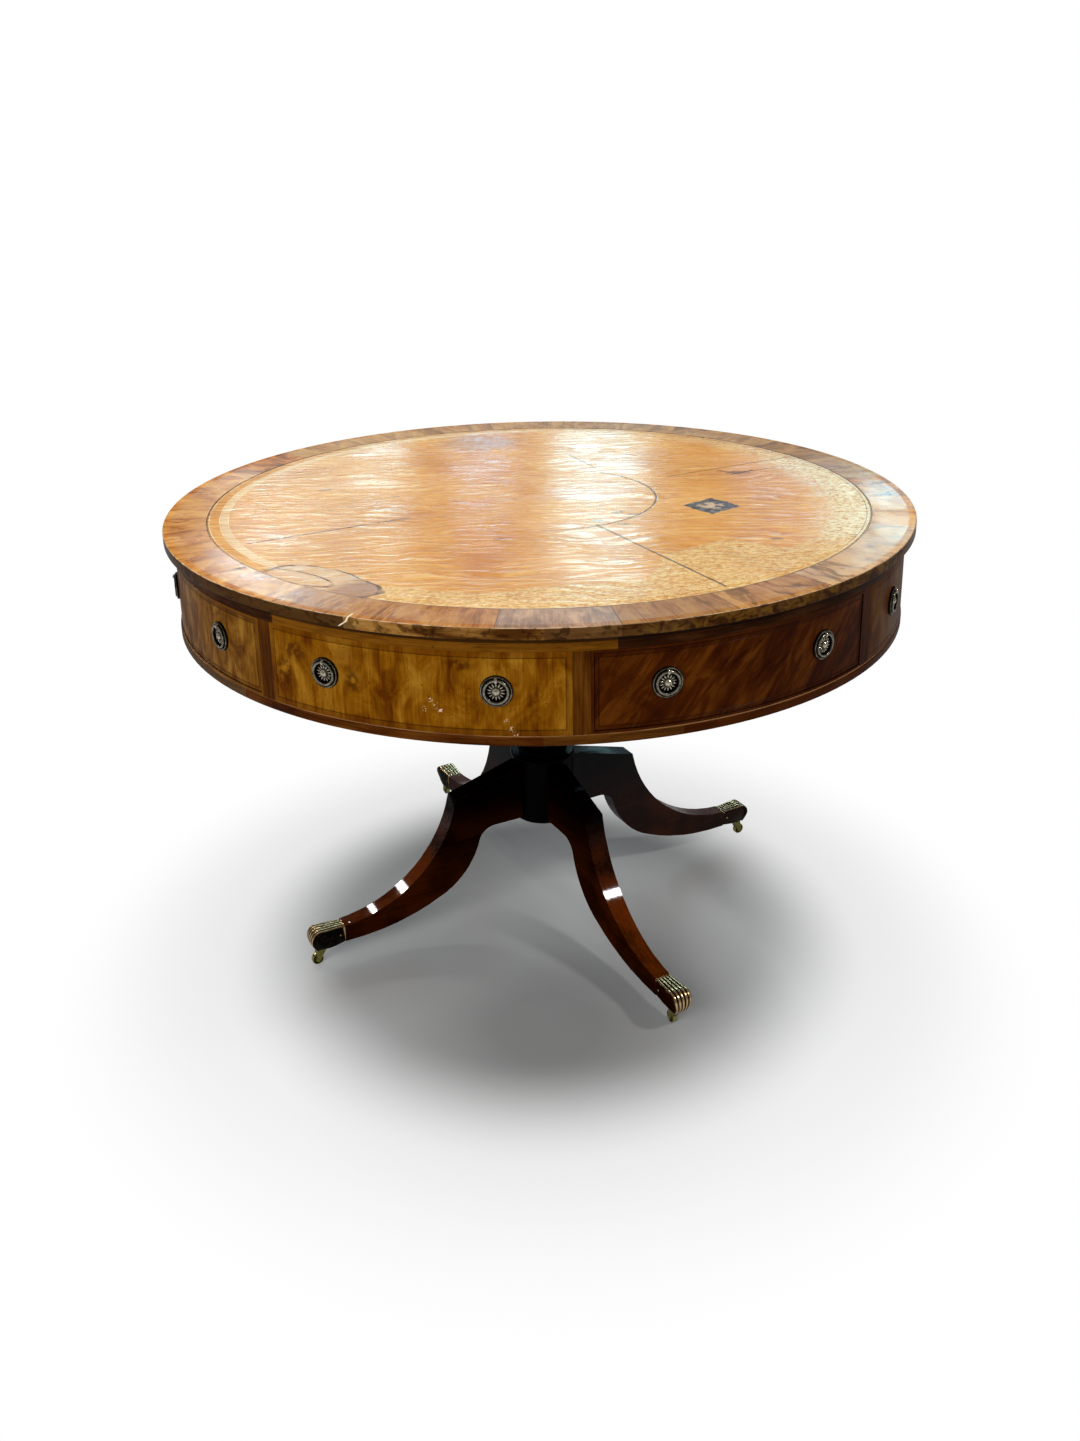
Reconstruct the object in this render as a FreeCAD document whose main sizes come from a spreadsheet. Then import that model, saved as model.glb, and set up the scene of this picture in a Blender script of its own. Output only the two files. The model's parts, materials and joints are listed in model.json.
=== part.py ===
import FreeCAD, Part
import math
import os
from types import SimpleNamespace
import Sketcher

# A drum table: a revolving drum with a leather top, four drawers and four dummy fronts,
# on a turned column with four splayed legs on casters. Millimetres, +Z up, the origin on
# the floor under the column. Legs and drawers lie along the X and Y axes.

SIZES = {
    # top
    "table_height": 760,
    "top_radius": 610,
    "edge_height": 17,
    "edge_width": 12,
    "edge_rounding": 1.5,
    "border_width": 68,
    "inlay_thickness": 2,
    # drum carcase
    "drum_inset": 15,
    "drum_depth": 150,
    "rail_depth": 35,
    "top_rail_height": 21.5,
    "base_rail_height": 13.5,
    "base_rail_proud": 1.5,
    "cove_height": 9,
    "cove_projection": 7,
    "opening_half_angle": 21.96,
    "panel_half_angle": 20.8,
    "panel_thickness": 18,
    "guide_thickness": 12,
    "hub_frame_wall": 14,
    "hub_block_half_width": 95,
    "hub_block_height": 42,
    "bush_wall": 6,
    # drawers
    "drawer_gap": 0.5,
    "front_setback": 1,
    "front_thickness": 22,
    "bead_width": 3.5,
    "bead_proud": 1.5,
    "tray_side_inset": 1,
    "tray_wall": 10,
    "tray_floor": 6,
    "tray_height": 100,
    "tray_hub_gap": 2,
    # ring handles
    "handle_drop": 91,
    "drawer_handle_angle": 12.3,
    "panel_handle_angle": 11.5,
    "plate_radius": 21.5,
    "plate_rim_width": 3,
    "plate_rim_height": 4,
    "plate_floor": 1.5,
    "patera_radius": 11.7,
    "patera_height": 3.6,
    "boss_radius": 4.8,
    "boss_height": 6.4,
    "ring_radius": 15.5,
    "ring_wire_radius": 2,
    "ring_standoff": 4,
    "ring_bore_clearance": 0.35,
    "lug_wall": 1.3,
    "lug_width": 4,
    # column, platform and spindle
    "column_base": 172,
    "column_radius": 55,
    "column_base_rounding": 6,
    "collar_rise": 2,
    "collar_height": 12,
    "collar_bulge_radius": 7.5,
    "neck_radius": 44,
    "neck_height": 9,
    "neck_hollow_radius": 6,
    "vase_radius": 55,
    "vase_height": 46,
    "vase_lower_radius": 52,
    "vase_upper_radius": 700,
    "shaft_radius": 36,
    "ring_bead_height": 12,
    "ring_bead_radius": 6.5,
    "ring_bead_drop": 92,
    "capital_radius": 64,
    "capital_lip": 5,
    "capital_height": 14,
    "capital_hollow": 40,
    "capital_hollow_radius": 42,
    "platform_radius": 150,
    "platform_thickness": 28,
    "platform_rounding": 9,
    "bearing_inner_radius": 92,
    "bearing_outer_radius": 122,
    "bearing_thickness": 2.7,
    "bearing_gap": 0.3,
    "spindle_radius": 22,
    "spindle_socket": 90,
    "spindle_clearance": 0.05,
    "spindle_collar_width": 16,
    "spindle_collar_height": 12,
    "spindle_end": 8,
    # legs
    "leg_root_width": 38,
    "leg_foot_width": 27,
    "leg_top": 284,
    "leg_underside": 180,
    "knee_reach": 180,
    "knee_height": 246,
    "hollow_radius": 224,
    "heel_reach": 105,
    "heel_width": 32,
    "heel_drop": 20,
    "heel_radius": 32,
    "belly_reach": 205,
    "belly_height": 73,
    "belly_upper_radius": 136,
    "belly_lower_radius": 377,
    "foot_reach": 370,
    "foot_underside": 35,
    "foot_top": 65,
    "dovetail_depth": 15,
    "dovetail_root_width": 12,
    "dovetail_tip_width": 20,
    "dovetail_height": 84,
    # toe caps
    "cap_start": 393,
    "cap_reach": 452,
    "cap_shoulder": 14,
    "cap_nose_height": 50,
    "cap_top": 66.5,
    "cap_bottom": 31,
    "cap_sole_length": 30,
    "cap_nose_radius": 17,
    "cap_chin_radius": 26,
    "cap_chin": 9,
    "cap_wall": 2,
    "cap_toe_width": 34,
    "reed_pitch": 6.2,
    "reed_groove": 1.5,
    "reed_depth": 1,
    # casters
    "pintle_reach": 430.5,
    "pintle_radius": 4,
    "pintle_height": 25,
    "pintle_clearance": 0.08,
    "caster_trail": 10,
    "caster_gap": 0.3,
    "wheel_radius": 10,
    "wheel_width": 8,
    "wheel_rounding": 1.5,
    "wheel_side_gap": 0.4,
    "wheel_tread_gap": 1,
    "horn_cheek": 2,
    "horn_tip_radius": 4.5,
    "horn_plate_radius": 10,
    "horn_plate_thickness": 2.2,
    "axle_radius": 1.6,
    "axle_clearance": 0.05,
    # one overrun serves every cut
    "overrun": 8,
}

# Four legs, four drawers and four dummy fronts stand at quarter turns.
SIDES = {"right": 0, "back": 90, "left": 180, "front": 270}
CORNERS = {"back_right": 45, "back_left": 135, "front_left": 225, "front_right": 315}
# How far each caster has swivelled from trailing outwards, in degrees.
CASTER_TURNS = {"right": 0, "back": 0, "left": 0, "front": 180}
# Places of the four reed grooves across a toe cap, as shares of their pitch from its middle.
GROOVE_SHARES = (-1.5, -0.5, 0.5, 1.5)

doc = FreeCAD.newDocument("DrumTable")
sheet = doc.addObject("Spreadsheet::Sheet", "Sizes")
for row, (alias, number) in enumerate(SIZES.items(), start=1):
    sheet.set(f"A{row}", alias)
    sheet.set(f"B{row}", str(number))
    sheet.setAlias(f"B{row}", alias)
doc.recompute()


class Size:
    """A length or an angle: its number now, and the sheet expression that it comes from."""

    def __init__(self, value, text):
        self.value = value
        self.text = text

    def __add__(self, other):
        return Size(self.value + other.value, f"({self.text} + {other.text})")

    def __sub__(self, other):
        return Size(self.value - other.value, f"({self.text} - {other.text})")

    def __neg__(self):
        return Size(-self.value, f"(0 - {self.text})")

    def __mul__(self, share):
        return Size(self.value * share, f"({self.text} * {share})")

    def __truediv__(self, share):
        return Size(self.value / share, f"({self.text} / {share})")


def chord(radius, half_width):
    """How far out a circle about the origin is at a given distance from the axis of slide."""
    value = math.sqrt(radius.value ** 2 - half_width.value ** 2)
    return Size(value, f"sqrt({radius.text}^2 - {half_width.text}^2)")


def polar(radius, angle):
    """The point at a radius and an angle in degrees."""
    turn = math.radians(angle.value)
    across = Size(radius.value * math.cos(turn), f"({radius.text} * cos({angle.text}))")
    up = Size(radius.value * math.sin(turn), f"({radius.text} * sin({angle.text}))")
    return across, up


s = SimpleNamespace(**{alias: Size(float(sheet.get(alias)), "Sizes." + alias) for alias in SIZES})
NONE = Size(0, "0")
EIGHTH_TURN = Size(45, "45")
subparts = []
cuts = []


def new_body(label, is_subpart=True):
    body = doc.addObject("PartDesign::Body", label)
    body.Label = label
    if is_subpart:
        subparts.append(body)
    return body


def group(label, members):
    """Several separate solids that share one name."""
    compound = doc.addObject("Part::Compound", label)
    compound.Label = label
    compound.Links = members
    subparts.append(compound)
    return compound


def turn(obj, angle):
    """Turns a finished piece about the column's axis."""
    obj.Placement = FreeCAD.Placement(FreeCAD.Vector(), FreeCAD.Rotation(FreeCAD.Vector(0, 0, 1), angle))


def new_sketch(body, role, offset=None):
    plane = [feature for feature in body.Origin.OriginFeatures if feature.Role == role][0]
    sketch = body.newObject("Sketcher::SketchObject", body.Name + "_sketch")
    sketch.AttachmentSupport = [(plane, "")]
    sketch.MapMode = "FlatFace"
    if offset is not None:
        sketch.AttachmentOffset = FreeCAD.Placement(FreeCAD.Vector(0, 0, offset.value), FreeCAD.Rotation())
        sketch.setExpression("AttachmentOffset.Base.z", offset.text)
    return sketch


def pin_point(sketch, geometry, position, point):
    """Holds one point of a sketch at named distances from the sketch's axes."""
    for kind, axis, size in (("DistanceX", -2, point[0]), ("DistanceY", -1, point[1])):
        if size.text == NONE.text:
            sketch.addConstraint(Sketcher.Constraint("PointOnObject", geometry, position, axis))
            continue
        index = sketch.addConstraint(Sketcher.Constraint(kind, -1, 1, geometry, position, size.value))
        sketch.setExpression(f"Constraints[{index}]", size.text)


def arc_edge(start, end, radius, bend):
    """A sketch arc. bend +1 has its centre on the left of the way from start to end."""
    middle = (start + end) / 2
    half = (end - start) / 2
    rise = math.sqrt(max(radius ** 2 - half.Length ** 2, 0))
    left = FreeCAD.Vector(-half.y, half.x, 0).normalize()
    centre = middle + left * (rise * bend)
    first, last = (start, end) if bend > 0 else (end, start)
    from_angle = math.atan2(first.y - centre.y, first.x - centre.x)
    to_angle = math.atan2(last.y - centre.y, last.x - centre.x)
    circle = Part.Circle(centre, FreeCAD.Vector(0, 0, 1), radius)
    return Part.ArcOfCircle(circle, from_angle, to_angle if to_angle > from_angle else to_angle + 2 * math.pi)


def outline(sketch, points, arcs=None):
    """A closed outline. arcs gives the edge after a point a radius and a bend of +1 or -1.

    A half round has no radius: its centre is level with its start, or upright with it.
    """
    arcs = arcs or {}
    first = sketch.GeometryCount
    places = [FreeCAD.Vector(x.value, y.value, 0) for x, y in points]
    ends = []
    for i, start in enumerate(places):
        end = places[(i + 1) % len(places)]
        if i in arcs:
            radius, bend = arcs[i]
            reach = (end - start).Length / 2 if radius is None else radius.value
            sketch.addGeometry(arc_edge(start, end, reach, bend))
            ends.append((1, 2) if bend > 0 else (2, 1))
        else:
            sketch.addGeometry(Part.LineSegment(start, end))
            ends.append((1, 2))
    for i in range(len(points)):
        after = (i + 1) % len(points)
        sketch.addConstraint(
            Sketcher.Constraint("Coincident", first + i, ends[i][1], first + after, ends[after][0]))
    for i, point in enumerate(points):
        pin_point(sketch, first + i, ends[i][0], point)
    for i, (radius, bend) in arcs.items():
        if radius is None:
            across, up = points[i]
            upright = points[(i + 1) % len(points)][0].text == across.text
            kind, size = ("DistanceX", across) if upright else ("DistanceY", up)
            constraint = Sketcher.Constraint(kind, -1, 1, first + i, 3, size.value)
        else:
            size = radius
            constraint = Sketcher.Constraint("Radius", first + i, radius.value)
        index = sketch.addConstraint(constraint)
        sketch.setExpression(f"Constraints[{index}]", size.text)


def rectangle(sketch, low, high):
    outline(sketch, [(low[0], low[1]), (high[0], low[1]), (high[0], high[1]), (low[0], high[1])])


def circle(sketch, centre, radius):
    index = sketch.addGeometry(
        Part.Circle(FreeCAD.Vector(centre[0].value, centre[1].value, 0), FreeCAD.Vector(0, 0, 1), radius.value))
    pin_point(sketch, index, 3, centre)
    number = sketch.addConstraint(Sketcher.Constraint("Radius", index, radius.value))
    sketch.setExpression(f"Constraints[{number}]", radius.text)


def pad(body, sketch, length, both_ways=False, downward=False):
    feature = body.newObject("PartDesign::Pad", body.Name + "_pad")
    feature.Profile = sketch
    feature.setExpression("Length", length.text)
    feature.Midplane = both_ways
    feature.Reversed = downward
    return feature


def pocket(body, sketch, length, both_ways=False, upward=False):
    feature = body.newObject("PartDesign::Pocket", body.Name + "_pocket")
    feature.Profile = sketch
    feature.setExpression("Length", length.text)
    feature.Midplane = both_ways
    feature.Reversed = upward
    cuts.append(feature)
    return feature


def revolve(body, sketch, axis):
    feature = body.newObject("PartDesign::Revolution", body.Name + "_revolution")
    feature.Profile = sketch
    feature.ReferenceAxis = (sketch, [axis])
    feature.Angle = 360
    return feature


# Heights and places that several pieces share.
top_underside = s.table_height - s.edge_height
handle_height = s.table_height - s.handle_drop
inlay_seat = s.table_height - s.inlay_thickness
drum_bottom = top_underside - s.drum_depth
floor_level = drum_bottom + s.base_rail_height
opening_top = top_underside - s.top_rail_height
opening_height = opening_top - floor_level
leather_radius = s.top_radius - s.border_width
drum_radius = s.top_radius - s.drum_inset
inner_radius = drum_radius - s.rail_depth
opening_half_width = polar(drum_radius, s.opening_half_angle)[1]
board_radius = s.top_radius - s.edge_width
hub_half_width = opening_half_width + s.guide_thickness
tray_back = hub_half_width + s.tray_hub_gap
bush_radius = s.spindle_radius + s.spindle_clearance
bush_outer_radius = bush_radius + s.bush_wall
hub_top = floor_level + s.hub_block_height
bearing_top = drum_bottom - s.bearing_gap
platform_top = bearing_top - s.bearing_thickness
platform_bottom = platform_top - s.platform_thickness


def ring_solid(label, inner, outer, low, high):
    """A plain ring about the column's axis, turned from its section."""
    body = new_body(label)
    sketch = new_sketch(body, "XZ_Plane")
    rectangle(sketch, (inner, low), (outer, high))
    revolve(body, sketch, "V_Axis")
    return body


def disc_solid(label, radius, low, height, bore=None):
    """A round board, with a hole for the spindle if it has one."""
    body = new_body(label)
    sketch = new_sketch(body, "XY_Plane", low)
    circle(sketch, (NONE, NONE), radius)
    if bore is not None:
        circle(sketch, (NONE, NONE), bore)
    pad(body, sketch, height)
    return body


# The top: a board, the leather and the veneer crossband let into it, and a solid edge.
disc_solid("leather_top", leather_radius, inlay_seat, s.inlay_thickness)
disc_solid("top_board", board_radius, top_underside, s.edge_height - s.inlay_thickness)
ring_solid("top_crossband", leather_radius, board_radius, inlay_seat, s.table_height)


def edge_band():
    """The solid edge round the top, with both arrises rounded."""
    body = new_body("edge_band")
    sketch = new_sketch(body, "XZ_Plane")
    points = [
        (board_radius, top_underside),
        (s.top_radius - s.edge_rounding, top_underside),
        (s.top_radius, top_underside + s.edge_rounding),
        (s.top_radius, s.table_height - s.edge_rounding),
        (s.top_radius - s.edge_rounding, s.table_height),
        (board_radius, s.table_height),
    ]
    outline(sketch, points, {1: (s.edge_rounding, 1), 3: (s.edge_rounding, 1)})
    revolve(body, sketch, "V_Axis")


edge_band()


def top_rail():
    """The rail over the drawers, with a hollow moulding up to the underside of the top."""
    body = new_body("top_rail")
    sketch = new_sketch(body, "XZ_Plane")
    points = [
        (inner_radius, opening_top),
        (drum_radius, opening_top),
        (drum_radius, top_underside - s.cove_height),
        (drum_radius + s.cove_projection, top_underside),
        (inner_radius, top_underside),
    ]
    outline(sketch, points, {2: (s.cove_height, -1)})
    revolve(body, sketch, "V_Axis")


top_rail()
ring_solid("base_rail", inner_radius, drum_radius + s.base_rail_proud, drum_bottom, floor_level)
disc_solid("base_board", inner_radius, drum_bottom, s.base_rail_height, bush_outer_radius)


def sector(body, inner, outer, start, end):
    """A pad between two radii and two angles, as high as the drawer openings."""
    sketch = new_sketch(body, "XY_Plane", floor_level)
    points = [polar(inner, start), polar(outer, start), polar(outer, end), polar(inner, end)]
    outline(sketch, points, {1: (outer, 1), 3: (inner, -1)})
    pad(body, sketch, opening_height)


def dummy_fronts():
    """Four curved panels that look like drawer fronts."""
    members = []
    for name, angle in CORNERS.items():
        body = new_body("dummy_front_" + name, False)
        inner = drum_radius - s.panel_thickness
        sector(body, inner, drum_radius, -s.panel_half_angle, s.panel_half_angle)
        turn(body, angle)
        members.append(body)
    group("dummy_fronts", members)


dummy_fronts()


def frieze_stiles():
    """Eight upright posts: one face is square to the drawer, the other meets a dummy front."""
    panel_edge = EIGHTH_TURN - s.panel_half_angle
    members = []
    for name, angle in SIDES.items():
        for hand, side in (("left", 1), ("right", -1)):
            body = new_body("stile_" + name + "_" + hand, False)
            sketch = new_sketch(body, "XY_Plane", floor_level)
            near = opening_half_width
            points = [
                (chord(inner_radius, near), near),
                (chord(drum_radius, near), near),
                polar(drum_radius, panel_edge),
                polar(inner_radius, panel_edge),
            ]
            if side < 0:
                points = [(x, -y) for x, y in points]
            outline(sketch, points, {1: (drum_radius, side), 3: (inner_radius, -side)})
            pad(body, sketch, opening_height)
            turn(body, angle)
            members.append(body)
    group("frieze_stiles", members)


frieze_stiles()


def drawer_guides():
    """Eight upright boards beside the drawers, from the hub frame to the posts."""
    members = []
    near = opening_half_width
    far = near + s.guide_thickness
    for name, angle in SIDES.items():
        for hand, side in (("left", 1), ("right", -1)):
            body = new_body("guide_" + name + "_" + hand, False)
            sketch = new_sketch(body, "XY_Plane", floor_level)
            points = [
                (hub_half_width, near),
                (chord(inner_radius, near), near),
                (chord(inner_radius, far), far),
                (hub_half_width, far),
            ]
            if side < 0:
                points = [(x, -y) for x, y in points]
            outline(sketch, points, {1: (inner_radius, side)})
            pad(body, sketch, top_underside - floor_level)
            turn(body, angle)
            members.append(body)
    group("drawer_guides", members)


drawer_guides()


def hub_frame():
    """The square frame that the drawers close against."""
    body = new_body("hub_frame")
    inside = hub_half_width - s.hub_frame_wall
    sketch = new_sketch(body, "XY_Plane", floor_level)
    rectangle(sketch, (-hub_half_width, -hub_half_width), (hub_half_width, hub_half_width))
    rectangle(sketch, (-inside, -inside), (inside, inside))
    pad(body, sketch, top_underside - floor_level)


def hub_block():
    """The thick block on the base board that carries the bush."""
    body = new_body("hub_block")
    half = s.hub_block_half_width
    sketch = new_sketch(body, "XY_Plane", floor_level)
    rectangle(sketch, (-half, -half), (half, half))
    circle(sketch, (NONE, NONE), bush_outer_radius)
    pad(body, sketch, s.hub_block_height)


hub_frame()
hub_block()
ring_solid("hub_bush", bush_radius, bush_outer_radius, drum_bottom, hub_top)


def handle_plate(label, radius, angle):
    """A round back plate: raised rim, sunk floor, low patera, boss, and a bored lug for the ring."""
    body = new_body(label, False)
    sketch = new_sketch(body, "XZ_Plane")
    rim_inside = s.plate_radius - s.plate_rim_width
    rim_slope = s.plate_rim_height - s.plate_floor
    points = [
        (NONE, NONE),
        (s.boss_height, NONE),
        (s.boss_height - s.plate_floor, s.boss_radius),
        (s.patera_height, s.boss_radius),
        (s.plate_floor, s.patera_radius),
        (s.plate_floor, rim_inside),
        (s.plate_rim_height, rim_inside + rim_slope / 2),
        (s.plate_floor, s.plate_radius),
        (NONE, s.plate_radius),
    ]
    outline(sketch, points)
    revolve(body, sketch, "H_Axis")
    bore = s.ring_wire_radius + s.ring_bore_clearance
    lug_radius = bore + s.lug_wall
    lug_sketch = new_sketch(body, "XZ_Plane")
    lug_points = [
        (s.plate_floor / 2, s.ring_radius - lug_radius),
        (s.ring_standoff, s.ring_radius - lug_radius),
        (s.ring_standoff, s.ring_radius + lug_radius),
        (s.plate_floor / 2, s.ring_radius + lug_radius),
    ]
    outline(lug_sketch, lug_points, {1: (None, 1)})
    pad(body, lug_sketch, s.lug_width, both_ways=True)
    bore_sketch = new_sketch(body, "XZ_Plane")
    circle(bore_sketch, (s.ring_standoff, s.ring_radius), bore)
    pocket(body, bore_sketch, s.lug_width + s.overrun, both_ways=True)
    facing = FreeCAD.Rotation(FreeCAD.Vector(0, 0, 1), angle)
    body.Placement = FreeCAD.Placement(
        facing.multVec(FreeCAD.Vector(radius.value, 0, 0)) + FreeCAD.Vector(0, 0, handle_height.value), facing)
    return body


def ring_handle(label, radius, angle):
    """A wire ring that hangs through the lug of its plate, turned from an eight-sided section."""
    body = new_body(label)
    sketch = new_sketch(body, "XZ_Plane")
    points = []
    for step in range(8):
        across, up = polar(s.ring_wire_radius, EIGHTH_TURN * (step + 0.5))
        points.append((s.ring_standoff + across, s.ring_radius + up))
    outline(sketch, points)
    revolve(body, sketch, "H_Axis")
    facing = FreeCAD.Rotation(FreeCAD.Vector(0, 0, 1), angle)
    body.Placement = FreeCAD.Placement(
        facing.multVec(FreeCAD.Vector(radius.value, 0, 0)) + FreeCAD.Vector(0, 0, handle_height.value), facing)


def handles(owner, radius, angle, half_spacing):
    """Two handles, left and right of the middle of a front."""
    plates = []
    for hand, side in (("left", -1), ("right", 1)):
        turned = angle + side * half_spacing.value
        plates.append(handle_plate(f"plate_{owner}_{hand}", radius, turned))
        ring_handle(f"ring_{owner}_{hand}", radius, turned)
    return plates


front_radius = drum_radius - s.front_setback
front_half_width = opening_half_width - s.drawer_gap
front_low = floor_level + s.drawer_gap
front_height = opening_height - s.drawer_gap * 2


def drawer_front(name, angle):
    """A bowed front with a raised bead round its edge."""
    body = new_body(f"drawer_{name}_front")
    bead_radius = front_radius + s.bead_proud
    back_radius = front_radius - s.front_thickness
    sketch = new_sketch(body, "XY_Plane", front_low)
    half = front_half_width
    points = [
        (chord(back_radius, half), -half),
        (chord(bead_radius, half), -half),
        (chord(bead_radius, half), half),
        (chord(back_radius, half), half),
    ]
    outline(sketch, points, {1: (bead_radius, 1), 3: (back_radius, -1)})
    pad(body, sketch, front_height)
    field = half - s.bead_width
    far_radius = bead_radius + s.overrun
    window = new_sketch(body, "XY_Plane", front_low + s.bead_width)
    window_points = [
        (chord(front_radius, field), -field),
        (chord(far_radius, field), -field),
        (chord(far_radius, field), field),
        (chord(front_radius, field), field),
    ]
    outline(window, window_points, {1: (far_radius, 1), 3: (front_radius, -1)})
    pocket(body, window, front_height - s.bead_width * 2, upward=True)
    turn(body, angle)


def drawer_tray(name, angle):
    """The open box behind a front: two sides, a back and a floor."""
    body = new_body(f"drawer_{name}_tray")
    join_radius = front_radius - s.front_thickness
    half = front_half_width - s.tray_side_inset
    sketch = new_sketch(body, "XY_Plane", front_low)
    points = [
        (tray_back, -half),
        (chord(join_radius, half), -half),
        (chord(join_radius, half), half),
        (tray_back, half),
    ]
    outline(sketch, points, {1: (join_radius, 1)})
    pad(body, sketch, s.tray_height)
    inside = half - s.tray_wall
    hollow = new_sketch(body, "XY_Plane", front_low + s.tray_floor)
    rectangle(hollow, (tray_back + s.tray_wall, -inside), (join_radius + s.overrun, inside))
    pocket(body, hollow, s.tray_height, upward=True)
    turn(body, angle)


for side_name, side_angle in SIDES.items():
    drawer_front(side_name, side_angle)
    drawer_tray(side_name, side_angle)
    plate_pair = handles(f"drawer_{side_name}", front_radius, side_angle, s.drawer_handle_angle)
    group(f"drawer_{side_name}_plates", plate_pair)

dummy_plates = []
for corner_name, corner_angle in CORNERS.items():
    dummy_plates += handles(f"dummy_{corner_name}", drum_radius, corner_angle, s.panel_handle_angle)
group("dummy_plates", dummy_plates)


def column():
    """The turned column: a drum for the legs, a collar, a vase, a ringed shaft and a capital."""
    body = new_body("column")
    sketch = new_sketch(body, "XZ_Plane")
    base_edge = s.column_radius - s.column_base_rounding
    collar_low = s.leg_top + s.collar_rise
    collar_top = collar_low + s.collar_height
    neck_top = collar_top + s.neck_height
    vase_top = neck_top + s.vase_height
    bead_low = platform_bottom - s.ring_bead_drop
    bead_top = bead_low + s.ring_bead_height
    hollow_top = platform_bottom - s.capital_height
    hollow_low = hollow_top - s.capital_hollow
    points = [
        (NONE, s.column_base),
        (base_edge, s.column_base),
        (s.column_radius, s.column_base + s.column_base_rounding),
        (s.column_radius, collar_low),
        (s.column_radius, collar_top),
        (s.neck_radius, collar_top),
        (s.neck_radius, neck_top),
        (s.vase_radius, vase_top),
        (s.shaft_radius, bead_low),
        (s.shaft_radius, bead_top),
        (s.shaft_radius, hollow_low),
        (s.capital_radius - s.capital_lip, hollow_top),
        (s.capital_radius, hollow_top),
        (s.capital_radius, platform_bottom),
        (NONE, platform_bottom),
    ]
    arcs = {
        1: (s.column_base_rounding, 1),
        3: (s.collar_bulge_radius, 1),
        5: (s.neck_hollow_radius, -1),
        6: (s.vase_lower_radius, 1),
        7: (s.vase_upper_radius, -1),
        8: (s.ring_bead_radius, 1),
        10: (s.capital_hollow_radius, -1),
    }
    outline(sketch, points, arcs)
    revolve(body, sketch, "V_Axis")
    socket = new_sketch(body, "XY_Plane", platform_bottom)
    circle(socket, (NONE, NONE), s.spindle_radius)
    pocket(body, socket, s.spindle_socket)
    for angle in SIDES.values():
        slot = new_sketch(body, "XY_Plane", s.column_base - s.overrun)
        points = dovetail_points()
        turned = [turned_point(x, y, angle) for x, y in points]
        outline(slot, turned)
        pocket(body, slot, s.dovetail_height + s.leg_underside - s.column_base + s.overrun, upward=True)


def dovetail_points():
    """The plan of a leg's sliding dovetail, wider at its tip inside the column."""
    tip = s.column_radius - s.dovetail_depth
    root = s.column_radius + s.dovetail_depth / 4
    return [
        (tip, -s.dovetail_tip_width / 2),
        (root, -s.dovetail_root_width / 2),
        (root, s.dovetail_root_width / 2),
        (tip, s.dovetail_tip_width / 2),
    ]


def turned_point(x, y, angle):
    """A plan point turned by a whole number of quarter turns."""
    for _ in range(angle // 90):
        x, y = -y, x
    return x, y


column()


def platform():
    """The round block on the column that the drum turns on."""
    body = new_body("platform")
    sketch = new_sketch(body, "XZ_Plane")
    points = [
        (s.spindle_radius, platform_bottom),
        (s.platform_radius - s.platform_rounding, platform_bottom),
        (s.platform_radius, platform_bottom + s.platform_rounding),
        (s.platform_radius, platform_top),
        (s.spindle_radius, platform_top),
    ]
    outline(sketch, points, {1: (s.platform_rounding, 1)})
    revolve(body, sketch, "V_Axis")


platform()
ring_solid("bearing_ring", s.bearing_inner_radius, s.bearing_outer_radius, platform_top, bearing_top)
spindle_low = platform_bottom - s.spindle_socket
keeper_low = hub_top + s.bearing_gap
keeper_top = keeper_low + s.spindle_collar_height
keeper_radius = s.spindle_radius + s.spindle_collar_width
disc_solid("spindle", s.spindle_radius, spindle_low, keeper_top + s.spindle_end - spindle_low)
ring_solid("spindle_collar", s.spindle_radius, keeper_radius, keeper_low, keeper_top)

cap_top_end = s.cap_reach - s.cap_shoulder
cap_chin_reach = s.cap_reach - s.cap_chin
cap_sole_start = cap_chin_reach - s.cap_sole_length


def cap_profile(inset):
    """The side view of a toe cap, drawn in from its surface by the given amount."""
    points = [
        (s.cap_start, s.foot_underside - s.cap_wall / 2 + inset),
        (cap_sole_start, s.cap_bottom + inset),
        (cap_chin_reach - inset / 2, s.cap_bottom + inset),
        (s.cap_reach - inset, s.cap_nose_height),
        (cap_top_end - inset / 4, s.cap_top - inset),
        (s.cap_start, s.cap_top - inset),
    ]
    return points


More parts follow.
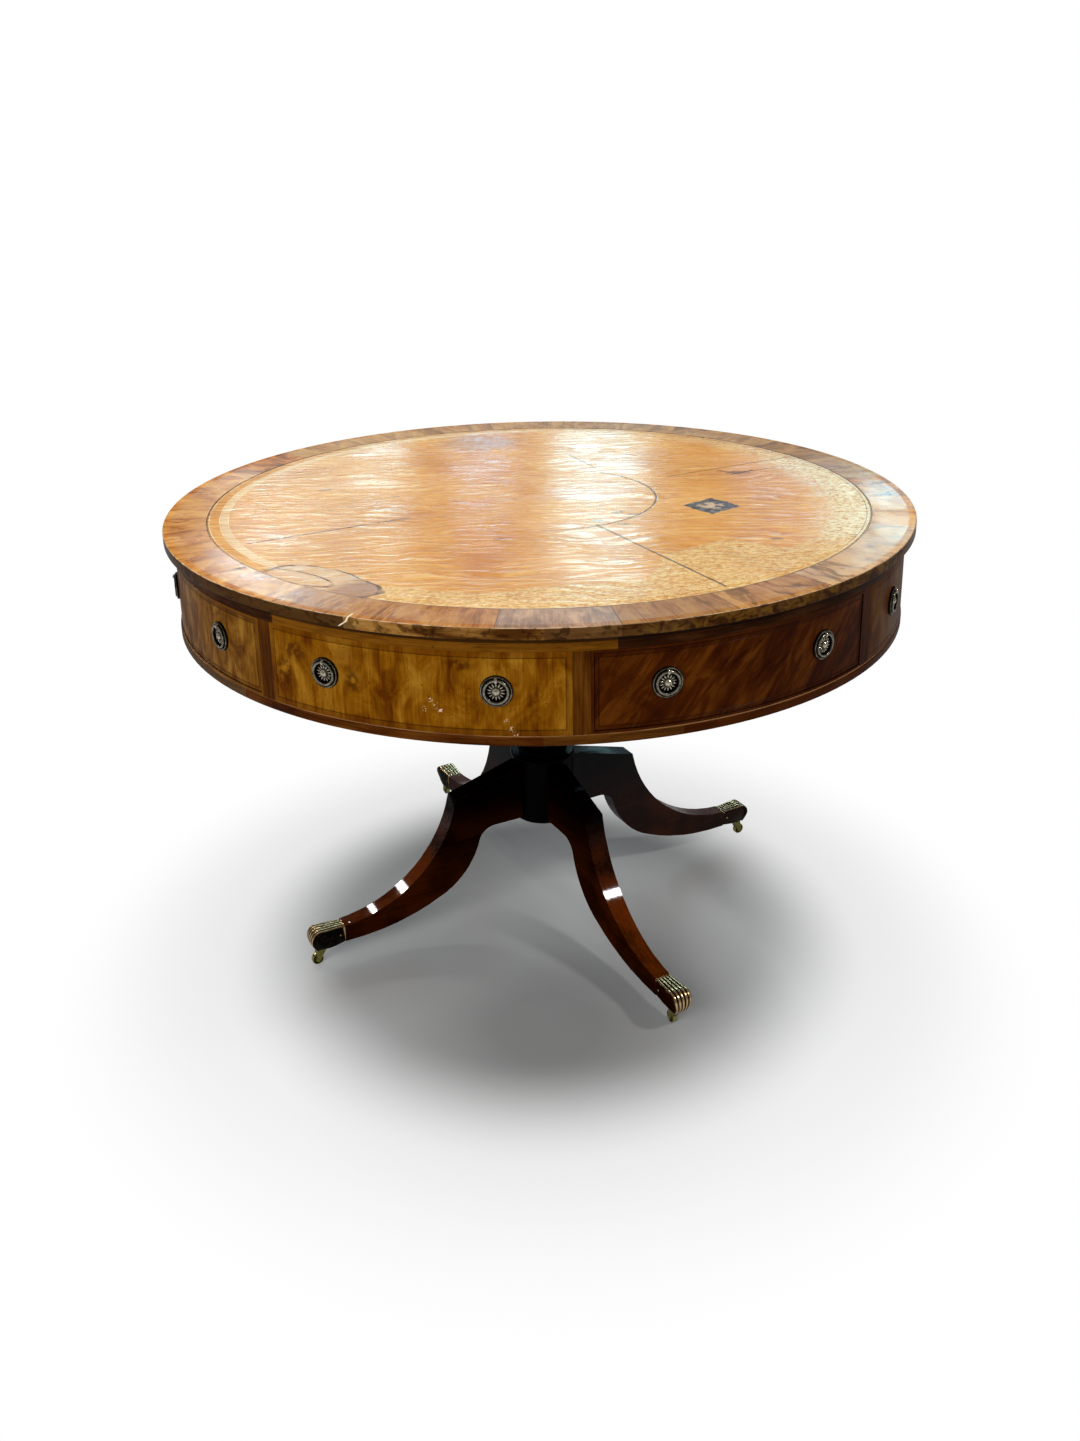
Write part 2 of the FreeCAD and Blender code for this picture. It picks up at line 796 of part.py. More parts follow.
def leg(name, angle):
    """A splayed leg: hipped knee, hollow front, full belly, a toe for its cap and a dovetail."""
    body = new_body(f"leg_{name}")
    sketch = new_sketch(body, "XZ_Plane")
    root = s.column_radius - s.dovetail_depth
    toe = cap_profile(s.cap_wall)
    points = [
        (root, s.leg_underside),
        (s.heel_reach, s.leg_underside),
        (s.heel_reach + s.heel_width, s.leg_underside - s.heel_drop),
        (s.belly_reach, s.belly_height),
        (s.foot_reach, s.foot_underside),
        (s.cap_start, s.foot_underside),
    ]
    points += toe
    points += [
        (s.cap_start, s.foot_top),
        (s.knee_reach, s.knee_height),
        (root, s.leg_top),
    ]
    arcs = {
        1: (s.heel_radius, -1),
        2: (s.belly_upper_radius, 1),
        3: (s.belly_lower_radius, 1),
        8: (s.cap_chin_radius, 1),
        9: (s.cap_nose_radius, 1),
        12: (s.hollow_radius, -1),
    }
    outline(sketch, points, arcs)
    pad(body, sketch, s.leg_root_width, both_ways=True)
    taper = new_sketch(body, "XY_Plane")
    wide = s.leg_root_width / 2
    narrow = s.leg_foot_width / 2
    tenon = narrow - s.cap_wall / 2
    beyond = s.cap_reach + s.overrun
    outside = wide + s.overrun
    for side in (1, -1):
        points = [(root - s.overrun, wide), (s.cap_start, narrow), (s.cap_start, tenon), (beyond, tenon),
                  (beyond, outside), (root - s.overrun, outside)]
        if side < 0:
            points = [(x, -y) for x, y in points]
        outline(taper, points)
    pocket(body, taper, s.table_height, upward=True)
    seat = new_sketch(body, "XY_Plane")
    circle(seat, (NONE, NONE), s.column_radius)
    pocket(body, seat, s.table_height, upward=True)
    tongue = new_sketch(body, "XY_Plane", s.leg_underside)
    outline(tongue, dovetail_points())
    pad(body, tongue, s.dovetail_height)
    bore = new_sketch(body, "XY_Plane")
    circle(bore, (s.pintle_reach, NONE), s.pintle_radius + s.pintle_clearance)
    pocket(body, bore, s.cap_bottom + s.pintle_height + s.horn_plate_thickness, upward=True)
    turn(body, angle)


def toe_cap(name, angle):
    """A cast cap on a leg's end: a flared box with five reeds over its top and nose."""
    body = new_body(f"toe_cap_{name}", False)
    nose_arcs = {2: (s.cap_chin_radius, 1), 3: (s.cap_nose_radius, 1)}
    sketch = new_sketch(body, "XZ_Plane")
    outline(sketch, cap_profile(NONE), nose_arcs)
    pad(body, sketch, s.cap_toe_width, both_ways=True)
    flare = new_sketch(body, "XY_Plane")
    narrow = s.leg_foot_width / 2 + s.cap_wall / 2
    wide = s.cap_toe_width / 2
    outside = wide + s.overrun
    for side in (1, -1):
        points = [(s.cap_start, narrow), (cap_top_end, wide), (cap_top_end, outside), (s.cap_start, outside)]
        if side < 0:
            points = [(x, -y) for x, y in points]
        outline(flare, points)
    pocket(body, flare, s.table_height, upward=True)
    cavity = new_sketch(body, "XZ_Plane")
    outline(cavity, cap_profile(s.cap_wall), nose_arcs)
    pocket(body, cavity, s.leg_foot_width - s.cap_wall, both_ways=True)
    bore = new_sketch(body, "XY_Plane")
    circle(bore, (s.pintle_reach, NONE), s.pintle_radius + s.pintle_clearance)
    pocket(body, bore, s.cap_nose_height, upward=True)
    for share in GROOVE_SHARES:
        groove = new_sketch(body, "XZ_Plane", s.reed_pitch * share)
        depth = s.reed_depth
        high = s.cap_top + s.overrun
        far = s.cap_reach + s.overrun
        points = [
            (s.cap_start - s.overrun, s.cap_top - depth),
            (cap_top_end - depth / 4, s.cap_top - depth),
            (s.cap_reach - depth, s.cap_nose_height),
            (cap_chin_reach + depth, s.cap_bottom + s.cap_chin / 2),
            (far, s.cap_bottom + s.cap_chin / 2),
            (far, high),
            (s.cap_start - s.overrun, high),
        ]
        outline(groove, points, {1: (s.cap_nose_radius, -1), 2: (s.cap_chin_radius, -1)})
        pocket(body, groove, s.reed_groove, both_ways=True)
    turn(body, angle)
    return body


for side_name, side_angle in SIDES.items():
    leg(side_name, side_angle)
group("toe_caps", [toe_cap(side_name, side_angle) for side_name, side_angle in SIDES.items()])

horn_top = s.cap_bottom - s.caster_gap
axle_reach = s.pintle_reach + s.caster_trail
horn_inside = s.wheel_width + s.wheel_side_gap * 2
horn_outside = horn_inside + s.horn_cheek * 2
crown_low = s.wheel_radius * 2 + s.wheel_tread_gap


def set_caster(body, angle, swivel):
    """Puts a piece that is drawn about its pintle's leg in its place, swivelled on the pintle."""
    upright = FreeCAD.Vector(0, 0, 1)
    reach = FreeCAD.Vector(s.pintle_reach.value, 0, 0)
    out = FreeCAD.Rotation(upright, angle).multVec(reach)
    swung = FreeCAD.Placement(out, FreeCAD.Rotation(upright, angle + swivel))
    body.Placement = swung * FreeCAD.Placement(-reach, FreeCAD.Rotation()) * body.Placement


def caster_horn(name, angle):
    """The swivelling part of a caster: pintle, round plate, two cheeks and the axle between them."""
    body = new_body(f"caster_{name}_horn")
    plate_low = horn_top - s.horn_plate_thickness
    plate = new_sketch(body, "XY_Plane", plate_low)
    circle(plate, (s.pintle_reach, NONE), s.horn_plate_radius)
    pad(body, plate, s.horn_plate_thickness)
    pintle = new_sketch(body, "XY_Plane", plate_low)
    circle(pintle, (s.pintle_reach, NONE), s.pintle_radius)
    pad(body, pintle, s.horn_plate_thickness + s.pintle_height)
    cheeks = new_sketch(body, "XZ_Plane")
    points = [
        (s.pintle_reach - s.pintle_radius - s.horn_cheek, plate_low),
        (axle_reach - s.horn_tip_radius, s.wheel_radius),
        (axle_reach + s.horn_tip_radius, s.wheel_radius),
        (s.pintle_reach + s.horn_plate_radius, plate_low),
    ]
    outline(cheeks, points, {1: (None, 1)})
    pad(body, cheeks, horn_outside, both_ways=True)
    slot = new_sketch(body, "XZ_Plane")
    rectangle(slot, (s.pintle_reach - s.horn_plate_radius * 2, -s.overrun),
              (axle_reach + s.horn_plate_radius * 2, crown_low))
    pocket(body, slot, horn_inside, both_ways=True)
    axle = new_sketch(body, "XZ_Plane")
    circle(axle, (axle_reach, s.wheel_radius), s.axle_radius)
    pad(body, axle, horn_outside, both_ways=True)
    set_caster(body, angle, CASTER_TURNS[name])


def caster_wheel(name, angle):
    """A small roller with rounded rims, turned about its bore and set on the horn's axle."""
    body = new_body(f"caster_{name}_wheel")
    sketch = new_sketch(body, "XY_Plane")
    bore = s.axle_radius + s.axle_clearance
    rim = s.wheel_width / 2
    shoulder = rim - s.wheel_rounding
    points = [
        (bore, -rim),
        (s.wheel_radius - s.wheel_rounding, -rim),
        (s.wheel_radius, -shoulder),
        (s.wheel_radius, shoulder),
        (s.wheel_radius - s.wheel_rounding, rim),
        (bore, rim),
    ]
    outline(sketch, points, {1: (s.wheel_rounding, 1), 3: (s.wheel_rounding, 1)})
    revolve(body, sketch, "V_Axis")
    body.Placement = FreeCAD.Placement(FreeCAD.Vector(axle_reach.value, 0, s.wheel_radius.value), FreeCAD.Rotation())
    set_caster(body, angle, CASTER_TURNS[name])


for side_name, side_angle in SIDES.items():
    caster_horn(side_name, side_angle)
    caster_wheel(side_name, side_angle)

doc.recompute()
faults = []
for obj in doc.Objects:
    if "Invalid" in obj.State or "Error" in obj.State:
        faults.append(f"{obj.Label}: {obj.State}")
for cut in cuts:
    if cut.Shape.isNull() or cut.Shape.Volume >= cut.BaseFeature.Shape.Volume:
        faults.append(f"{cut.Label} cuts nothing")
for piece in subparts:
    if piece.Shape.isNull() or not piece.Shape.isValid() or not piece.Shape.Solids:
        faults.append(f"{piece.Label}: bad shape")
if faults:
    raise RuntimeError("\n".join(faults))

os.makedirs("parts", exist_ok=True)
for piece in subparts:
    piece.Shape.exportStep(f"parts/{piece.Label}.step")
print(len(subparts), "sub-parts written")
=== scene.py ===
import json
import math

import bmesh
import bpy
from mathutils import Matrix, Vector


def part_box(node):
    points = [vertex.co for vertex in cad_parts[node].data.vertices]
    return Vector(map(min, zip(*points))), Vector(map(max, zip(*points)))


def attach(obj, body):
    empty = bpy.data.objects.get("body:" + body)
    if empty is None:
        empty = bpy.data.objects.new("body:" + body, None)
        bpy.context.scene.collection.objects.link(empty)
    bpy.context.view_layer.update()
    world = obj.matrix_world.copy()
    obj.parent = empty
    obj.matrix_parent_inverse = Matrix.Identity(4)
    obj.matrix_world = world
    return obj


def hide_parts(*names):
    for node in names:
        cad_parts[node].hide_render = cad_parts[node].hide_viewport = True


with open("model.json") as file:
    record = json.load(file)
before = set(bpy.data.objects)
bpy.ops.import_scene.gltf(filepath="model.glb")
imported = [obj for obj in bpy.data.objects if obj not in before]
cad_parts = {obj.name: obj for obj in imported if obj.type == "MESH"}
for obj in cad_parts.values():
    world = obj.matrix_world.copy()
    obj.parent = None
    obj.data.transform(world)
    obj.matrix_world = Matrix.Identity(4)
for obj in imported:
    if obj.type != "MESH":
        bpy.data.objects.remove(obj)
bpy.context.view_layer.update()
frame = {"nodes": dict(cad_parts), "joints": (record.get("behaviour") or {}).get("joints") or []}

# Column and platform
# A turned mahogany column, dark with old polish, tenoned into a round platform under the drum.
# The two turned pieces keep their shape from the frame, and get a polished finish painted near black: partly the old
# polish, partly painted shade under the drum.


class Nodes:
    """Short words for building a node tree. Each gives back the socket that it puts out."""

    def __init__(self, tree):
        self.tree = tree

    def feed(self, socket, value):
        if isinstance(value, bpy.types.NodeSocket):
            self.tree.links.new(value, socket)
        else:
            socket.default_value = value

    def add(self, kind, inputs, out=0, **settings):
        node = self.tree.nodes.new("ShaderNode" + kind)
        for name, setting in settings.items():
            setattr(node, name, setting)
        for key, value in inputs.items():
            self.feed(node.inputs[key], value)
        return node.outputs[out]

    def maths(self, operation, *values):
        return self.add("Math", dict(enumerate(values)), operation=operation)

    def vector(self, operation, *values, out=0):
        return self.add("VectorMath", dict(enumerate(values)), out, operation=operation)

    def fold(self, operation, values):
        result = values[0]
        for value in values[1:]:
            result = self.maths(operation, result, value)
        return result

    def times(self, *values):
        """The product of several values, such as a mask that is there only where all of them are."""
        return self.fold("MULTIPLY", values)

    def most(self, *values):
        """The greatest of several values, such as a mask that is there where any of them is."""
        return self.fold("MAXIMUM", values)

    def least(self, *values):
        return self.fold("MINIMUM", values)

    def plus(self, *values):
        return self.fold("ADD", values)

    def less(self, value, taken):
        return self.maths("SUBTRACT", value, taken)

    def weigh(self, *shares):
        """The sum of several values, each of them times a number."""
        return self.plus(*[self.times(value, share) for value, share in shares])

    def scaled(self, vector, *shares):
        return self.vector("MULTIPLY", vector, shares)

    def length(self, vector):
        return self.vector("LENGTH", vector, out="Value")

    def split(self, vector):
        node = self.tree.nodes.new("ShaderNodeSeparateXYZ")
        self.feed(node.inputs[0], vector)
        return node.outputs

    def turn(self, vector, degrees):
        """The place as read in a frame that is turned about the column."""
        return self.add("Mapping", {"Vector": vector, "Rotation": (0, 0, math.radians(degrees))})

    def noise(self, vector, scale, detail=2.0, roughness=0.5, distortion=0.0):
        return self.add("TexNoise", {"Vector": vector, "Scale": scale, "Detail": detail,
                                     "Roughness": roughness, "Distortion": distortion})

    def uneven(self, vector, scale, detail, amount):
        """A value that wanders about nought, to roughen an edge."""
        return self.times(self.less(self.noise(vector, scale, detail), 0.5), amount)

    def oval(self, vector, centre, size):
        """How far a place is from a centre, as a share of the way to the edge of an oval."""
        return self.length(self.vector("DIVIDE", self.vector("SUBTRACT", vector, (*centre, 0)), (*size, 1)))

    def fade(self, value, start, end, low=0.0, high=1.0):
        """Goes smoothly from low to high as a value goes from start to end."""
        return self.add("MapRange", {"Value": value, "From Min": start, "From Max": end, "To Min": low, "To Max": high},
                        interpolation_type="SMOOTHSTEP")

    def band(self, value, middle, half, soft):
        """A mask of a stripe round a middle value."""
        off = self.maths("ABSOLUTE", self.less(value, middle))
        return self.fade(off, half + soft, half)

    def between(self, value, start, end, soft):
        """A mask of a stripe between two values."""
        return self.band(value, (start + end) / 2, (end - start) / 2, soft)

    def mix(self, share, first, second):
        return self.add("Mix", {0: share, 6: first, 7: second}, 2, data_type="RGBA")

    def lay(self, shade, *shares):
        """Lays a shade over the finish's colour so far, as far as the product of the shares says."""
        self.colour = self.mix(self.times(*shares), self.colour, shade)

    def ramp(self, value, *stops):
        """Starts the finish's colour: paints at places along a value, and the colours between them."""
        colour = self.add("ValToRGB", {0: value})
        elements = colour.node.color_ramp.elements
        for index, (position, shade) in enumerate(stops):
            element = elements[index] if index < 2 else elements.new(position)
            element.position = position
            element.color = shade
        self.colour = colour
        return colour

    def effect(self, group, **inputs):
        node = self.tree.nodes.new("ShaderNodeGroup")
        node.node_tree = group
        for name, value in inputs.items():
            self.feed(node.inputs[name], value)
        return node.outputs

    def bump(self, height, strength, distance):
        return self.add("Bump", {"Height": height, "Strength": strength, "Distance": distance})

    def give(self, **values):
        """Ends a node group, which puts out each value under its name."""
        for label in values:
            kind = "Color" if label == "Color" else "Float"
            self.tree.interface.new_socket(label, in_out="OUTPUT", socket_type="NodeSocket" + kind)
        result = self.tree.nodes.new("NodeGroupOutput").inputs
        for label, value in values.items():
            self.feed(result[label], value)
        return self.tree


class Finish(Nodes):
    """A material with one surface shader, whose plain numbers are set on its own sockets.

    place is where a point lies on the object, and colour what has been laid on so far."""

    def __init__(self, name, **surface):
        self.material = bpy.data.materials.new(name)
        self.material.use_nodes = True
        super().__init__(self.material.node_tree)
        self.shader = self.tree.nodes["Principled BSDF"]
        self.place = self.add("TexCoord", {}, "Object")
        for key, value in surface.items():
            self.shader.inputs[key.replace("_", " ")].default_value = value

    def grained(self, board, figure, mottle, *stops):
        """Starts the colour of a wood from the figure and the streaks of its grain."""
        grain = self.effect(GRAIN, Vector=board, Figure=figure)
        tone = self.weigh((grain["Figure"], mottle), (grain["Streaks"], 1 - mottle))
        self.ramp(tone, *stops)
        return grain, tone

    def show(self, **sockets):
        """Feeds the surface, with the colour laid on so far, and gives the material."""
        for key, value in {"Base_Color": self.colour, **sockets}.items():
            self.feed(self.shader.inputs[key.replace("_", " ")], value)
        return self.material


def effect_group(name, **inputs):
    """Begins a node group that several finishes share, with the kind of each named input."""
    group = bpy.data.node_groups.new(name, "ShaderNodeTree")
    for label, kind in inputs.items():
        group.interface.new_socket(label, in_out="INPUT", socket_type="NodeSocket" + kind)
    return Nodes(group), group.nodes.new("NodeGroupInput").outputs


def paint(red, green, blue):
    """A colour as it looks on a screen, from 0 to 255, as the numbers that a shader reads."""
    return tuple((part / 255) ** 2.2 for part in (red, green, blue)) + (1.0,)


def wood_grain():
    """Figure, streaks and pores of a board whose grain runs along Z of the vector given."""
    nodes, given = effect_group("wood grain", Vector="Vector", Figure="Float")
    broad = nodes.scaled(given["Vector"], 1, 1, 0.3)
    fine = nodes.scaled(given["Vector"], 1, 1, 0.045)
    return nodes.give(
        Figure=nodes.noise(broad, given["Figure"], 4.0, 0.55, 1.1),
        Streaks=nodes.noise(fine, 260.0, 4.0, 0.6, 0.4),
        Pores=nodes.fade(nodes.noise(fine, 900.0, 1.0), 0.6, 0.7))


def old_surface():
    """Cloudy dust, small dark specks and fine scratches, which an old polished surface gathers."""
    nodes, given = effect_group("old surface", Vector="Vector")
    thin = nodes.noise(nodes.scaled(given["Vector"], 60, 4, 30), 1.0, 2.0, 0.5, 0.6)
    where = nodes.fade(nodes.noise(given["Vector"], 14.0, 2.0), 0.52, 0.66)
    return nodes.give(
        Clouds=nodes.noise(given["Vector"], 9.0, 5.0, 0.6, 0.3),
        Specks=nodes.fade(nodes.noise(given["Vector"], 260.0, 1.0), 0.7, 0.76),
        Scratches=nodes.times(nodes.band(thin, 0.5, 0.0015, 0.003), where))


GRAIN = wood_grain()
WEAR = old_surface()
GRAIN_TURNS = {"X": (0, math.pi / 2, 0), "Z": (0, 0, 0)}


def polished_wood(name, dark, middle, light, grain_along="Z", figure=9.0, turned_by=0.0, gloss=0.3,
                  shine=0.1, arris=None, worn=None, lacquer=0.0):
    """French-polished wood, with its grain along one axis. arris is the paint of its edges: rubbed paler wood with a
    painted highlight.

    worn is (height, height, paint) for painted light: the wood is painted paler from the first height to the second and
    on its upward faces, and stays dark above as painted shade.
    lacquer is how much clear gloss is left on it there."""
    finish = Finish(name, Specular_IOR_Level=shine, Coat_Roughness=0.07)
    place = finish.turn(finish.place, turned_by)
    board = finish.add("Mapping", {"Vector": place, "Rotation": GRAIN_TURNS[grain_along]})
    grain, tone = finish.grained(board, figure, 0.6, (0.38, dark), (0.52, middle), (0.66, light))
    wear = finish.effect(WEAR, Vector=place)
    finish.lay(dark, grain["Pores"], 0.5)
    finish.lay(light, wear["Scratches"], 0.4)
    rough = finish.fade(wear["Clouds"], 0.35, 0.7, gloss - 0.06, gloss + 0.14)
    # Painted light: paler low down and on upward faces, dark towards the hips as painted shade
    if worn:
        start, end, pale = worn
        height = finish.split(place)["Z"]
        upward = finish.split(finish.add("NewGeometry", {}, "Normal"))["Z"]
        finish.lay(pale, finish.fade(height, start, end), finish.fade(tone, 0.38, 0.56, 0.25, 0.9),
                   finish.fade(finish.noise(place, 13.0, 3.0), 0.38, 0.6, 0.4, 1.0),
                   finish.fade(upward, 0.1, 0.5, 0.34, 1.0))
        finish.show(Coat_Weight=finish.times(
            finish.fade(upward, 0.15, 0.45), finish.fade(height, start + 0.02, start - 0.06),
            finish.fade(grain["Streaks"], 0.36, 0.54, 0.2, 1.0), lacquer))
        rough = finish.plus(rough, finish.fade(height, start, start + 0.1, 0.0, 0.3))
    # Painted highlight along the arris, on paler rubbed wood
    if arris:
        edge = finish.add("Attribute", {}, "Fac", attribute_name="arris")
        finish.lay(arris, edge, finish.fade(finish.noise(place, 30.0, 3.0), 0.35, 0.6, 0.35, 1.0))
    waves = finish.weigh((grain["Streaks"], 1), (finish.noise(place, 45.0, 2.0), 1.5))
    return finish.show(Roughness=rough, Normal=finish.bump(waves, 0.15, 0.0006))


def dress(material, *nodes):
    """Gives a finish to pieces that keep their shape from the frame."""
    for node in nodes:
        piece = frame["nodes"][node]
        piece.data.materials.clear()
        piece.data.materials.append(material)


# Painted near black: partly dark old polish, partly painted shade under the drum
dark_shaded_mahogany = polished_wood("dark mahogany", paint(2, 1, 1), paint(4, 3, 2), paint(12, 7, 5), shine=0.04)
dress(dark_shaded_mahogany, "column", "platform")

# Legs
# Four sabre legs of solid mahogany, hipped at the top and tapering to the toe.
# The frame's legs are copied, and a narrow flat is taken off each long corner and painted pale, as rubbed wood with a
# painted highlight.
# Their near-black wood is painted paler on the lower legs and on upward faces as painted light, and left dark towards
# the hips as painted shade.

LEG_FLAT = 0.0018
SHARP = 30
FLAT = 4


def placed(name, data):
    """A new object in the scene."""
    item = bpy.data.objects.new(name, data)
    bpy.context.scene.collection.objects.link(item)
    return item


def rotation(degrees, axis="Z"):
    return Matrix.Rotation(math.radians(degrees), 4, axis)


def clear():
    """Leaves edit mode and selects nothing."""
    if bpy.context.object and bpy.context.object.mode != "OBJECT":
        bpy.ops.object.mode_set(mode="OBJECT")
    bpy.ops.object.select_all(action="DESELECT")


def hold(piece):
    """Makes one piece the selected one."""
    clear()
    piece.select_set(True)
    bpy.context.view_layer.objects.active = piece


def edit(piece):
    """Opens a piece for shaping, with all of it selected."""
    hold(piece)
    bpy.ops.object.mode_set(mode="EDIT")
    bpy.ops.mesh.select_all(action="SELECT")


def smooth(piece, degrees=35):
    """Shades a piece smooth, apart from its sharp edges."""
    hold(piece)
    bpy.ops.object.shade_smooth_by_angle(angle=math.radians(degrees))


def bevel(piece, width, segments):
    """Rounds the sharp edges of a finished shape, and marks the new faces as its arris."""
    hold(piece)
    piece.data.materials.clear()
    for _ in range(2):
        piece.data.materials.append(None)
    rounding = piece.modifiers.new("rounding", "BEVEL")
    rounding.width = width
    rounding.segments = segments
    rounding.limit_method = "ANGLE"
    rounding.angle_limit = math.radians(SHARP)
    rounding.material = 1
    bpy.ops.object.modifier_apply(modifier=rounding.name)
    marks = piece.data.attributes.new("arris", "FLOAT", "FACE")
    for face, mark in zip(piece.data.polygons, marks.data):
        mark.value = face.material_index
        face.material_index = 0


def eased_copy(node, width, segments):
    """A copy of a frame's piece, made one skin again, with its sharp edges eased."""
    source = frame["nodes"][node]
    piece = placed("eased_" + node, source.data.copy())
    edit(piece)
    bpy.ops.mesh.remove_doubles(threshold=1e-5)
    bpy.ops.mesh.dissolve_limited(angle_limit=math.radians(FLAT))
    bpy.ops.object.mode_set(mode="OBJECT")
    bevel(piece, width, segments)
    smooth(piece)
    return piece


def fit(piece, material, body, slot, *nodes):
    """Gives a finished piece its finish, the body that carries it and the nodes it stands for."""
    piece.data.materials.clear()
    piece.data.materials.append(material)
    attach(piece, body)
    if nodes:
        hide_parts(*nodes)
    return piece


SIDES = {"right": 0, "back": 90, "left": 180, "front": 270}
LEG_SHINE = {"right": 0.16, "back": 0.05, "left": 0.0, "front": 0.0}
for side, heading in SIDES.items():
    # Near-black wood with painted light: paler lower down and on upward faces, and a painted highlight on the arris
    leg_wood = polished_wood(
        f"leg mahogany {side}", paint(2, 1, 1), paint(6, 3, 2), paint(15, 7, 4), grain_along="X",
        figure=6.0, turned_by=-heading, shine=LEG_SHINE[side], arris=paint(72, 46, 30),
        worn=(0.25, 0.10, paint(96, 44, 12)), lacquer=0.8)
    fit(eased_copy(f"leg_{side}", LEG_FLAT, 1), leg_wood, "pedestal", "mahogany", f"leg_{side}")

# Toe caps
# Cast brass boxes screwed over the ends of the legs, dark with age, with five reeds over the toe.
# The reeds run along the top, step up, and fold down round the nose to a narrow chin.


def cast_brass(name, recess, middle, crest, gloss=0.3):
    """Old brass: dark where dirt lies, and rubbed bright where the attribute says that it stands proud."""
    finish = Finish(name, Metallic=0.9)
    proud = finish.add("Attribute", {}, "Fac", attribute_name="proud")
    patches = finish.noise(finish.place, 160.0, 4.0, 0.6, 0.3)
    rubbed = finish.weigh((proud, 0.85), (finish.less(patches, 0.5), 0.5))
    finish.ramp(rubbed, (0.1, recess), (0.45, middle), (0.8, crest))
    finish.lay(recess, finish.effect(WEAR, Vector=finish.place)["Specks"], 0.5)
    return finish.show(
        Roughness=finish.fade(rubbed, 0.1, 0.8, gloss + 0.2, gloss - 0.05),
        Normal=finish.bump(finish.noise(finish.place, 700.0, 2.0), 0.1, 0.0003))


CAP_BRASS = cast_brass("toe cap brass", paint(14, 12, 8), paint(92, 70, 42), paint(244, 206, 152))

CAP_LENGTH = 0.059
CAP_SHOULDER = 0.014
CAP_NOSE_HEIGHT = 0.050
CAP_CHIN = 0.009
CAP_HALF_WIDTH = 0.0145
TOE_HALF_WIDTH = 0.017
CHIN_HALF_WIDTH = 0.0120
REEDS = 5
REED_RISE = 0.0013
NOSE_STEP = 0.0007
REED_ROOM = 0.0015
START_DROP = 0.003
NOSE_DROP = 0.0012
TOP_PART = 0.45
NOSE_PART = 0.30
SIDE_RISE = 0.006
SIDE_SWEEP = 1.4
CORNER_DROP = 0.0012
LIP = 0.0006
LIP_RUB = 0.85
DULLEST = 0.12
SCREW_RADIUS = 0.0019
SCREW_ALONG = 0.009
SCREW_HEIGHT = 0.050
SCREW_RUB = 0.8
ROUND_ANGLE = 60
ALONG = 44
ACROSS = 60


def joined(name, pieces):
    """Several pieces as one."""
    clear()
    for piece in pieces:
        piece.select_set(True)
    bpy.context.view_layer.objects.active = pieces[0]
    bpy.ops.object.join()
    pieces[0].name = name
    return pieces[0]


def moved_copy(piece, name, matrix):
    """A copy with its own mesh, whose place is in its mesh."""
    copy = placed(name, piece.data.copy())
    copy.data.transform(matrix)
    return copy


def gently(value):
    """Goes smoothly from 0 to 1."""
    value = min(max(value, 0), 1)
    return value * value * (3 - 2 * value)


def stand_proud(piece, shares):
    """Marks how bright each point of a casting is rubbed, from 0 to 1."""
    marks = piece.data.attributes.new("proud", "FLOAT", "POINT")
    for mark, share in zip(marks.data, shares):
        mark.value = min(max(share, 0), 1)


cap_low, cap_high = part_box("toe_caps")
cap_start = cap_high.x - CAP_LENGTH
shoulder = cap_high.x - CAP_SHOULDER
chin = cap_high.x - CAP_CHIN


def toe_line(share):
    """The cap's middle line, over its top, round its nose and in to its chin."""
    if share < TOP_PART:
        part = share / TOP_PART
        drop = START_DROP - (START_DROP - NOSE_DROP) * math.sin(part * math.pi / 2)
        return cap_start + (shoulder - cap_start) * part, cap_high.z - drop
    part = (share - TOP_PART) / NOSE_PART
    if part < 1:
        turn = math.radians(90 * (1 - part))
        rise = cap_high.z - NOSE_DROP - CAP_NOSE_HEIGHT
        return shoulder + (CAP_SHOULDER - REED_ROOM) * math.cos(turn), CAP_NOSE_HEIGHT + rise * math.sin(turn)
    part = (share - TOP_PART - NOSE_PART) / (1 - TOP_PART - NOSE_PART)
    return cap_high.x - REED_ROOM - CAP_CHIN * part ** 2, CAP_NOSE_HEIGHT - (CAP_NOSE_HEIGHT - cap_low.z) * part


bpy.ops.mesh.primitive_grid_add(x_subdivisions=ALONG, y_subdivisions=ACROSS, size=2, location=(0, 0, 0))
cap = bpy.context.object
cap.name = "cap"
crests = []
for corner in cap.data.vertices:
    share, side = (corner.co.x + 1) / 2, corner.co.y
    x, z = toe_line(share)
    before, after = toe_line(max(share - 0.01, 0)), toe_line(min(share + 0.01, 1))
    run, fall = after[0] - before[0], after[1] - before[1]
    length = math.hypot(run, fall)
    half = CAP_HALF_WIDTH + (TOE_HALF_WIDTH - CAP_HALF_WIDTH) * gently(share / 0.5)
    half += (CHIN_HALF_WIDTH - TOE_HALF_WIDTH) * gently((share - 0.62) / 0.38)
    if abs(side) > 0.999:
        x = cap_start + (chin - cap_start) * share ** SIDE_SWEEP
        z = cap_low.z + SIDE_RISE * (1 - share ** SIDE_SWEEP)
        rise, reach, crest = 0, 1, 0
    else:
        reach = side / (1 - 2 / ACROSS)
        in_reed = abs((reach * REEDS + REEDS) % 2 - 1)
        crest = math.sqrt(max(1 - in_reed ** 2.6, 0))
        rise = REED_RISE * crest + NOSE_STEP * gently((share - 0.36) / 0.02)
        rise += LIP * (share < 0.02) - CORNER_DROP * reach ** 4
    crests.append(max(LIP_RUB * (share < 0.03), crest ** 4, DULLEST))
    corner.co = (x - fall / length * rise, half * max(-1, min(1, reach)), z + run / length * rise)
stand_proud(cap, crests)
edit(cap)
bpy.ops.mesh.normals_make_consistent(inside=False)
smooth(cap, 50)


def ball(radius, segments, rings, *moves):
    """A small round knob, shaped and set in its place by matrices."""
    bpy.ops.mesh.primitive_uv_sphere_add(segments=segments, ring_count=rings, radius=radius, location=(0, 0, 0))
    knob = bpy.context.object
    for move in reversed(moves):
        knob.data.transform(move)
    smooth(knob, ROUND_ANGLE)
    return knob


